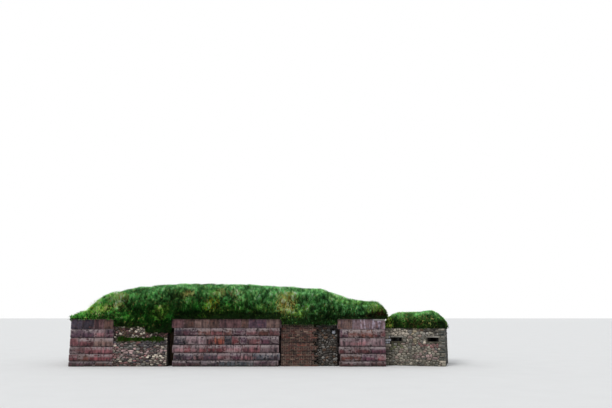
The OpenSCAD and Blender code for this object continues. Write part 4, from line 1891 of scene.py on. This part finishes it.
@dataclass
class Battery:
    """The earth-filled battery: walls, blocked embrasures and turf bank."""

    length: float = 15.6
    depth: float = 6.4
    left_merlon: float = 2.1
    centre: Pair = (5.0, 10.45)
    right_merlon: float = 13.25
    left_throat: float = 2.95
    right_throat: float = 11.25
    throat: float = 1.2
    lower_setback: float = 0.06
    upper_setback: float = 0.16
    brick_setback: float = 0.12
    hearting_setback: float = 0.3
    rear_setback: float = 0.08
    ledge: float = 1.25
    left_courses: tuple[float, ...] = (0.25, 0.35, 0.35, 0.43, 0.42, 0.52)
    centre_courses: tuple[float, ...] = (0.29, 0.36, 0.39, 0.433, 0.387, 0.46)
    right_courses: tuple[float, ...] = (0.25, 0.35, 0.35, 0.42, 0.43, 0.52)
    wall_top: float = 2.32

    def __post_init__(self) -> None:
        """Finds the battery's front left corner in the frame."""
        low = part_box("left_merlon")[0]
        self.corner = (low[0], low[1])

    def face(self, x: float, y: float, heading: float) -> Facade:
        """Places a facade to the right of and behind the battery's front left corner."""
        return Facade((self.corner[0] + x, self.corner[1] + y), heading)

    def lay_ashlar(self) -> None:
        """Lays the sandstone of every wall."""
        a = Ashlar
        common = (a.PINK, a.MAUVE, a.BROWN, a.ROSE, a.PINK, a.PALE, a.TAN)
        AshlarFace(
            "left_merlon", self.face(0, 0, 0), self.left_merlon, self.left_courses,
            (End.CORNER, End.GAP),
            {
                5: (a.BROWN, a.PINK), 4: (a.MAUVE, a.TAN, a.PINK), 3: (a.ROSE, a.TAN),
                2: (a.ROSE, a.PINK, a.ROSE), -1: common,
            },
            {5: (0.55, 1.12, 1.6), 4: (0.5, 1.15, 1.72)},
            {(5, 0): a.SLATE, (5, 1): a.SLATE, (4, 0): a.MAUVE, (4, 2): a.PALE}, seed=3,
        ).build()
        AshlarFace(
            "centre_merlon", self.face(self.centre[0], 0, 0), self.centre[1] - self.centre[0],
            self.centre_courses, (End.WORN, End.WORN),
            {
                5: (a.PINK, a.BROWN, a.PINK, a.MAUVE), 4: (a.MAUVE, a.PINK, a.BROWN, a.TAN),
                3: (a.PINK, a.MAUVE, a.PALE), 2: (a.PINK, a.PALE, a.ROSE, a.PALE),
                1: (a.MAUVE, a.SLATE, a.PALE, a.TEAL), 0: (a.SLATE, a.TEAL, a.MAUVE), -1: common,
            },
            {
                5: (0.6, 1.14, 1.86, 2.37, 3.44, 3.82, 4.21, 4.71),
                4: (0.54, 1.3, 1.96, 2.55, 3.02, 3.7, 4.32, 4.84),
                3: (0.72, 1.72, 2.13, 2.64, 2.99, 3.4, 3.75, 4.4, 4.93),
                2: (0.62, 1.0, 1.37, 1.79, 2.2, 2.74, 3.1, 3.52, 4.43),
                1: (0.55, 1.1, 1.62, 2.3, 2.95, 3.44, 4.05, 4.7),
                0: (0.8, 1.5, 2.4, 3.2, 4.1, 4.8),
            },
            {
                (5, 0): a.PINK, (5, 1): a.BROWN, (5, 2): a.TAN, (5, 3): a.BROWN, (5, 4): a.PINK,
                (5, 5): a.BROWN, (5, 6): a.MAUVE, (5, 7): a.MAUVE, (5, 8): a.TAN,
                (3, 3): a.RUST, (3, 4): a.TEAL, (3, 5): a.ROSE, (2, 5): a.ROSE,
                (2, 4): a.ROSE, (1, 1): a.SLATE, (1, 4): a.PALE, (4, 0): a.SLATE,
                (4, 1): a.MAUVE, (3, 0): a.SLATE, (1, 0): a.SLATE, (4, 6): a.PALE,
            },
            seed=4,
        ).build()
        AshlarFace(
            "right_merlon", self.face(self.right_merlon, 0, 0), self.length - self.right_merlon,
            self.right_courses, (End.WORN, End.CORNER),
            {5: (a.PALE, a.PALE), 4: (a.PALE, a.PINK), 3: (a.PALE,), -1: common},
            {5: (0.75, 1.83), 4: (0.53, 1.17, 1.8), 3: (0.9, 1.6)},
            {(5, 0): a.TAN, (4, 0): a.MAUVE, (4, 1): a.TAN, (4, 2): a.RUST, (4, 3): a.PINK},
            cut=(1.83, 2.222), seed=5, top_finish=Finish.STREAKED,
        ).build()
        left, right, rear = self.left_throat, self.right_throat, self.depth
        butts = (End.BUTT, End.BUTT)
        plain = (
            ("left_flank", (0, rear, -90), rear, self.left_courses, butts),
            ("right_flank", (self.length, 0, 90), rear, self.right_courses, butts),
            ("rear_left", (left, rear, 180), left, self.left_courses, (End.GAP, End.CORNER)),
            (
                "rear_centre", (right, rear, 180), right - left - self.throat,
                self.centre_courses, (End.GAP, End.GAP),
            ),
            (
                "rear_right", (self.length, rear, 180), self.length - right - self.throat,
                self.right_courses, (End.CORNER, End.GAP),
            ),
        )
        for seed, (name, place, length, courses, ends) in enumerate(plain, start=6):
            AshlarFace(
                name, self.face(*place), length, courses, ends, {-1: common}, seed=seed
            ).build()

    def block_embrasures(self) -> None:
        """Lays the rubble and brick that close the embrasures, front and rear."""
        r = Rubble
        mixed = (r.BEIGE, r.ROSE, r.GREY, r.PINK, r.CREAM, r.ROSE, r.SLATE, r.GREY, r.CREAM)
        RubbleFace(
            "lower_blocking_stones", self.face(self.left_merlon, self.lower_setback, 0), 2.69,
            lambda u: self.ledge, (0.19, 0.08), mixed, "rubble",
            patches=(
                (0.4, 1.1, 0.8, 1.0, r.GREY), (0.35, 1.2, 0.5, 0.78, r.PINK),
                (1.6, 2.4, 0.6, 0.8, r.PINK), (0.0, 0.32, 0.4, 0.6, r.ROSE),
                (1.9, 2.7, 0.38, 0.56, r.CREAM), (1.7, 2.7, 1.05, 1.25, r.SLATE),
            ),
            seed=21, shades=(0.2, 1.7),
        ).build()
        RubbleFace(
            "upper_blocking_stones", self.face(self.left_merlon, self.upper_setback, 0), 2.66,
            lambda u: 1.945 if u < 1.5 else 1.65, (0.15, 0.105),
            (r.CREAM, r.BEIGE, r.CREAM, r.BROWN, r.CREAM, r.BROWN, r.ROSE), "rubble",
            base=self.ledge,
            patches=((1.6, 2.7, 1.5, 2.0, r.ROSE),), seed=22, joint=(0.007, 0.014),
            shades=(0.25, 1.8),
        ).build()
        for name, x in (("left", self.left_throat), ("right", self.right_throat)):
            facade = self.face(x + self.throat, self.depth - self.rear_setback, 180)
            RubbleFace(
                f"rear_{name}_blocking_stones", facade, self.throat, lambda u: self.wall_top,
                (0.2, 0.12), mixed, "rubble", seed=23 + len(name),
            ).build()
        bricks = self.face(self.centre[1], self.brick_setback, 0)
        BrickPanel("blocking_bricks", bricks, length=1.85, height=2.055).build()
        RubbleFace(
            "hearting_stones", self.face(self.centre[1] + 1.45, self.hearting_setback, 0), 1.35,
            lambda u: 2.03, (0.17, 0.12), (r.DARK, r.DARK, r.GREY, r.BROWN, r.DARK), "loose_core",
            holes=((1.03, 1.35, 1.55, 1.85),), seed=31, joint=(0.01, 0.018),
        ).build()
        boulder = Slab((0.67, 0.0, 1.54), (0.89, 0.22, 1.75), 0.1, 0.008, 0.03)
        hollow = self.face(self.centre[1] + 1.85, self.hearting_setback + 0.02, 0)
        lay_slabs("bedded_boulder", hollow, [boulder], Finish.RUBBLE, "loose_core", 5)

    def lay_copings(self) -> None:
        """Lays the pale coping, the slab on the turf and the broken corbel."""
        front = self.face(0, 0, 0)
        slabs = {
            "coping_slab": Slab((0.02, 0.9, 2.62), (0.44, 1.6, 2.705), 0.014, 0.006),
            "merlon_coping": Slab((15.08, -0.03, 2.23), (15.63, 0.6, self.wall_top), 0.014, 0.005),
        }
        for node, slab in slabs.items():
            piece = lay_slabs(f"worn_{node}", front, [slab], Finish.COPING, "coping_stone", 9)
            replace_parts(piece, node)
        heap = Heap()
        corbel = Slab((-0.18, 0.15, 2.14), (0.05, 0.57, self.wall_top), 0.03, 0.012, 0.05)
        points, quads = corbel.points_and_faces(12)
        undercut = np.clip((2.24 - points[:, 2]) / 0.1, 0.0, 1.0)
        points[:, 0] += 0.1 * undercut * (points[:, 0] < 0.0)
        tones = even_tones(Ashlar.MAUVE.value, len(points), 0.3)
        heap.add(front.to_world(points * INTO_FACADE), quads, tones)
        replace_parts(heap.make("broken_corbel", Finish.ASHLAR, "red_sandstone"), "corner_corbel")

    def lay_turf(self) -> None:
        """Lays the bank's turf."""
        x, y = self.corner
        foot = (-6.4, -5.0, -3.4, -1.8, -0.2)
        TurfBlanket(
            "turf_mound", "mound", self.face(-0.1, -0.1, 0), (15.87, 6.6), blades=170_000, parts=4,
            sink=0.19, length=(0.16, 0.36), rim_z=2.38, crest_z=4.1,
            tints=(
                *(Patch((middle, -3.0, 2.5), 0.8, 0.5, Blade.DEEP) for middle in foot),
                Patch((1.1, -2.4, 3.35), 0.5, 0.75, Blade.HAY),
                Patch((1.05, -2.6, 2.95), 0.45, 0.7, Blade.HAY),
                Patch((-4.1, -2.0, 3.7), 0.3, 0.5),
                Patch((-2.4, -1.9, 3.7), 0.3, 0.4), Patch((-1.6, -1.9, 3.7), 0.3, 0.3),
                Patch((-7.6, -2.2, 3.4), 0.4, 0.4), Patch((-7.5, -2.6, 3.0), 0.25, 0.4),
                Patch((-2.7, -2.4, 3.0), 0.4, 0.18, Blade.YELLOW),
                Patch((-9.0, -2.6, 3.1), 0.5, 0.12, Blade.YELLOW),
                Patch((5.2, -2.8, 2.75), 0.7, 0.45, Blade.BLUE),
                # A broad blue patch over the crest: painted sky light
                Patch((1.8, -1.8, 3.6), 2.6, 0.3, Blade.BLUE),
                Patch((4.3, -2.1, 3.0), 0.8, 0.25, Blade.BLUE),
                Patch((5.3, -3.2, 2.35), 0.28, 0.9, Blade.ROOTS),
                Patch((5.8, -3.2, 2.4), 0.3, 0.9, Blade.ROOTS),
                Patch((5.7, -2.9, 2.75), 0.4, 0.3, Blade.RUSSET),
            ),
            glow=(
                Patch((-8.6, -2.6, 2.9), 1.2, 0.7), Patch((1.1, -2.5, 3.1), 0.7, 0.5),
                Patch((5.6, -2.7, 2.8), 1.0, -0.25), Patch((4.4, -1.8, 3.1), 1.0, -0.05),
                Patch((-4.6, -2.1, 3.35), 0.6, -0.45),
                Patch((-9.1, -3.0, 2.6), 0.7, 0.35), Patch((-3.4, -1.4, 3.95), 1.2, -0.14),
            ),
            blooms=(
                Patch((-2.7, -2.4, 3.0), 0.4, 0.05, Blade.YELLOW),
                Patch((-9.0, -2.6, 3.1), 0.5, 0.03, Blade.YELLOW),
                Patch((1.05, -2.3, 3.2), 0.5, 0.06),
            ),
            drapes=(
                Drape(x + 2.12, x + 3.7, 1.86), Drape(x + 3.7, x + 4.98, 1.56),
                Drape(x + 10.47, x + 13.23, 1.96), Drape(x + 14.95, x + 15.8, 2.34),
            ),
            bare=((x, y + 0.87, x + 0.47, y + 1.63),),
            # Painted shade along the turf's foot over each wall
            shade=(
                Shade(x + 5.0, x + 10.4, 0.14, 0.34), Shade(x + 3.6, x + 5.1, 0.25, 0.45),
                Shade(x + 2.0, x + 3.6, 0.4, 0.2), Shade(x + 10.4, x + 13.3, 0.25, 0.55),
                Shade(x + 13.3, x + 15.8, 0.3, 0.2), Shade(x - 0.2, x + 2.0, 0.75, 0.08),
            ),
            tall=(Patch((-9.45, -3.1, 2.45), 0.5, 0.16), Patch((6.0, -2.2, 2.9), 0.6, 0.1)),
        ).build()
        LedgeTufts(
            "ledge_tufts", self.face(self.left_merlon, self.lower_setback, 0), (0.25, 2.5),
            rear=self.upper_setback - self.lower_setback, height=self.ledge, blades=9000,
        ).build()


@dataclass
class Pillbox:
    """The pillbox: rubble walls, concrete bars round its openings and a turfed roof."""

    width: float = PILLBOX_WIDTH
    depth: float = PILLBOX_DEPTH
    height: float = 1.85
    heading: float = PILLBOX_TURN
    mouth: float = 0.545
    front_mouths: Pair = (0.285, 2.1)
    side_mouth: float = 1.1525
    rear_mouth: float = 0.905
    loop: Pair = (1.19, 1.39)
    bar: float = 0.075
    bar_depth: float = 0.14
    proud: float = 0.02
    bearing: float = 0.06
    door: Pair = (1.69, 2.39)
    door_top: float = 1.6
    door_lintel: float = 0.12
    door_bearing: float = 0.11
    turf_lip: float = 0.07

    def __post_init__(self) -> None:
        """Finds the pillbox's front left corner in the frame."""
        self.corner = pillbox_corner()

    def face(self, x: float, y: float, heading: float) -> Facade:
        """Places a facade in the pillbox's own plan.

        Args:
            x: Distance along its front.
            y: Distance back from its front.
            heading: The way the facade runs, in degrees from the front wall.

        Returns:
            The facade.
        """
        turn = math.radians(self.heading)
        east = x * math.cos(turn) - y * math.sin(turn)
        north = x * math.sin(turn) + y * math.cos(turn)
        return Facade((self.corner[0] + east, self.corner[1] + north), self.heading + heading)

    def loop_hole(self, left: float) -> Edges:
        """Gives the edges of the room that a loophole and its bars take: left, right, low, high."""
        right = left + self.mouth + self.bearing
        return (left - self.bearing, right, self.loop[0] - self.bar, self.loop[1] + self.bar)

    def lay_walls(self) -> None:
        """Lays the rubble of the four walls and of the wall that links the pillbox."""
        r = Rubble
        shared = {
            "top": lambda u: self.height, "cell": (0.17, 0.11), "slot": "pillbox_stone",
            "grade": BIG_RUBBLE, "finish": Finish.FIELDSTONE,
        }
        pale = (r.BUFF, r.ASH, r.BUFF, r.GREY, r.BEIGE, r.ASH, r.BUFF, r.CREAM)
        RubbleFace(
            "pillbox_front_stones", self.face(0, 0, 0), self.width, tones=pale,
            holes=tuple(map(self.loop_hole, self.front_mouths)), ends=(End.CORNER, End.CORNER),
            patches=(
                (0.0, 0.24, 1.1, 1.42, r.CHALK), (0.1, 1.1, 1.48, 1.78, r.CREAM),
                (0.3, 0.9, 0.9, 1.12, r.MOSS), (1.4, 1.5, 1.1, 1.8, r.GOLD),
                (1.15, 1.38, 1.1, 1.45, r.BEIGE), (1.85, 1.98, 1.5, 1.9, r.BROWN),
                # Painted shadow: the dark patches along the top of the wall, under the roof's turf;
                # painted shade: the dark strip at the right corner
                (1.95, 2.75, 1.48, 1.7, r.PLAIN), (0.9, 1.9, 1.8, 1.9, r.DARK),
                (2.05, 2.6, 1.72, 1.9, r.DARK),
                (1.65, 2.7, 0.98, 1.08, r.ROSE), (1.5, 2.4, 0.42, 0.56, r.PINK),
                (2.74, 2.95, 0.3, 1.85, r.SHADE),
            ),
            seed=52, **shared,
        ).build()
        # Dark tones on the right wall: painted shade on the side away from the light
        RubbleFace(
            "pillbox_right_stones", self.face(self.width, 0, 90), self.depth,
            tones=(r.SHADE, r.SHADE, r.SLATE), holes=(self.loop_hole(self.side_mouth),),
            ends=(End.BUTT, End.BUTT), seed=53, **shared,
        ).build()
        left, right = self.door
        lintel = (left - self.door_bearing, right + self.door_bearing)
        RubbleFace(
            "pillbox_rear_stones", self.face(self.width, self.depth, 180), self.width, tones=pale,
            holes=(
                self.loop_hole(self.rear_mouth), (left, right, -0.1, self.door_top),
                (*lintel, self.door_top, self.door_top + self.door_lintel),
            ),
            ends=(End.CORNER, End.CORNER), seed=54, **shared,
        ).build()
        RubbleFace(
            "pillbox_left_stones", self.face(0, self.depth, -90), self.depth, tones=pale,
            ends=(End.BUTT, End.BUTT), seed=55, **shared,
        ).build()
        low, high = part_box("link_wall")
        shared["top"] = lambda u: high[2]
        for side, corner, heading, width in (
            ("front", low, 0, 0.254), ("rear", high, 180, high[0] - low[0])
        ):
            RubbleFace(
                f"link_{side}_stones", Facade((corner[0], corner[1]), heading), width, tones=pale,
                seed=56, **shared,
            ).build()

    def lay_bars(self) -> None:
        """Lays the lintels and sills, and the door lintel."""
        faces = {
            "front": (self.face(0, 0, 0), self.front_mouths),
            "side": (self.face(self.width, 0, 90), (self.side_mouth,)),
            "rear": (self.face(self.width, self.depth, 180), (self.rear_mouth,)),
        }
        for side, (facade, mouths) in faces.items():
            for kind, low in (("lintel", self.loop[1]), ("sill", self.loop[0] - self.bar)):
                slabs = [
                    Slab(
                        (left - self.bearing, -self.proud, low),
                        (left + self.mouth + self.bearing, self.bar_depth, low + self.bar),
                        0.01, 0.003,
                    )
                    for left in mouths
                ]
                node = f"{side}_loop_{kind}" + ("s" if side == "front" else "")
                finish = Finish.CONCRETE if kind == "lintel" else Finish.SILL
                piece = lay_slabs(f"worn_{node}", facade, slabs, finish, "concrete", 60)
                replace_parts(piece, node)
        lintel = Slab(
            (self.door[0] - self.door_bearing, -self.proud, self.door_top),
            (self.door[1] + self.door_bearing, 0.232, self.door_top + self.door_lintel),
        )
        rear = faces["rear"][0]
        piece = lay_slabs("worn_door_lintel", rear, [lintel], Finish.CONCRETE, "concrete", 70)
        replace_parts(piece, "door_lintel")

    def lay_turf(self) -> None:
        """Lays the roof's turf."""
        lip = self.turf_lip
        TurfBlanket(
            "pillbox_turf_cap", "cap", self.face(-lip, -lip, 0),
            (self.width + 2 * lip, self.depth + 2 * lip), blades=24_000, parts=1, sink=0.14,
            length=(0.13, 0.28), rim_z=2.0, crest_z=2.74, reach=0.08, seed=15, tussock=0.36,
            contrast=0.4,
            # Painted shade along the foot of the roof's turf
            shade=(Shade(6.5, 9.4, 0.25, 0.28),),
            tints=(
                Patch((7.6, -3.0, 2.0), 0.5, 0.2, Blade.RUSSET),
                Patch((8.3, -3.1, 2.0), 0.5, 0.35, Blade.ROOTS),
                Patch((6.5, -2.6, 1.9), 0.3, 0.5, Blade.ROOTS),
                Patch((6.1, -2.4, 2.25), 0.4, 0.7, Blade.BRIGHT),
                Patch((7.8, -2.6, 2.7), 1.3, 0.06),
            ),
            glow=(Patch((7.7, -2.6, 2.75), 1.2, -0.1), Patch((6.1, -2.4, 2.25), 0.4, 0.5)),
            drapes=(
                Drape(6.0, 6.9, 1.8), Drape(6.9, 7.95, 1.75), Drape(7.95, 8.15, 1.6),
                Drape(8.15, 8.75, 1.7), Drape(8.75, 9.4, 1.8),
            ),
        ).build()


def dress_solids() -> None:
    """Gives each of the part's own solids its finish."""
    finishes = {
        "red_sandstone": Finish.JOINT,
        "rubble": Finish.RUBBLE_JOINT,
        "pillbox_stone": Finish.BUFF_JOINT,
        "brick": Finish.BRICK_JOINT,
        "loose_core": Finish.CORE,
        "earth": Finish.EARTH,
        "turf": Finish.THATCH,
        "concrete": Finish.CONCRETE,
        "coping_stone": Finish.COPING,
    }
    for part in frame["record"]["subparts"]:
        for slot in frame["nodes"][part["node"]].material_slots:
            slot.material = finishes[part["material_slot"]].material


# Studio


@dataclass
class Studio:
    """Camera, floor and light."""

    eye: Place = (2.072, -33.47, 2.45)
    pitch: float = 10.66
    lens: float = 35.0
    floor_reach: float = 600.0
    sky: float = 0.75
    sun: float = 1.2
    sun_tilt: float = 50.0
    sun_turn: float = -32.0
    softness: float = 25.0

    def place_camera(self) -> None:
        """Puts the camera where the photograph was taken from."""
        camera = bpy.data.cameras.new("camera")
        camera.lens = self.lens
        camera.sensor_width = 36.0
        camera.clip_end = 2000.0
        holder = bpy.data.objects.new("camera", camera)
        holder.location = self.eye
        holder.rotation_euler = (math.radians(90.0 + self.pitch), 0.0, 0.0)
        bpy.context.scene.collection.objects.link(holder)
        bpy.context.scene.camera = holder

    def lay_floor(self) -> None:
        """Lays the pale floor."""
        r = self.floor_reach
        mesh = bpy.data.meshes.new("floor")
        mesh.from_pydata([(-r, -r, 0), (r, -r, 0), (r, r, 0), (-r, r, 0)], [], [(0, 1, 2, 3)])
        g = Graph(bpy.data.materials.new("pale_floor"))
        shade = g.clouds(0.8, 3.0)
        colour = g.blend(shade, paint(226, 226, 224), paint(232, 232, 230))
        mesh.materials.append(g.finish(colour, 0.9, shade, 0.0005, 0.1))
        floor = bpy.data.objects.new("floor", mesh)
        bpy.context.scene.collection.objects.link(floor)

    def light(self) -> None:
        """Sets the plain soft light, and a white sky behind the part."""
        world = bpy.data.worlds.new("studio")
        bpy.context.scene.world = world
        g = Graph(world)
        rays = (g.node("LightPath", output=f"Is {kind} Ray") for kind in ("Camera", "Glossy"))
        sky = (self.sky * 0.97, self.sky * 0.99, self.sky * 1.03, 1.0)
        colour = g.blend(g.maths("MAXIMUM", *rays), sky, (1.0, 1.0, 1.0, 1.0))
        background = g.node("Background", None, {"Color": colour})
        g.node("OutputWorld", None, {"Surface": background})
        lamp = bpy.data.lights.new("soft_sun", "SUN")
        lamp.energy = self.sun
        lamp.angle = math.radians(self.softness)
        holder = bpy.data.objects.new("soft_sun", lamp)
        holder.rotation_euler = (math.radians(self.sun_tilt), 0.0, math.radians(self.sun_turn))
        bpy.context.scene.collection.objects.link(holder)
        bpy.context.scene.view_settings.view_transform = "Standard"


def main() -> None:
    """Builds the studio and every piece, in order."""
    logging.basicConfig(level=logging.INFO, format="%(message)s")
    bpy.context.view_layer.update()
    studio = Studio()
    studio.place_camera()
    studio.lay_floor()
    studio.light()
    dress_solids()
    battery = Battery()
    battery.lay_ashlar()
    battery.block_embrasures()
    battery.lay_copings()
    battery.lay_turf()
    pillbox = Pillbox()
    pillbox.lay_walls()
    pillbox.lay_bars()
    pillbox.lay_turf()


if __name__ == "__main__":
    main()
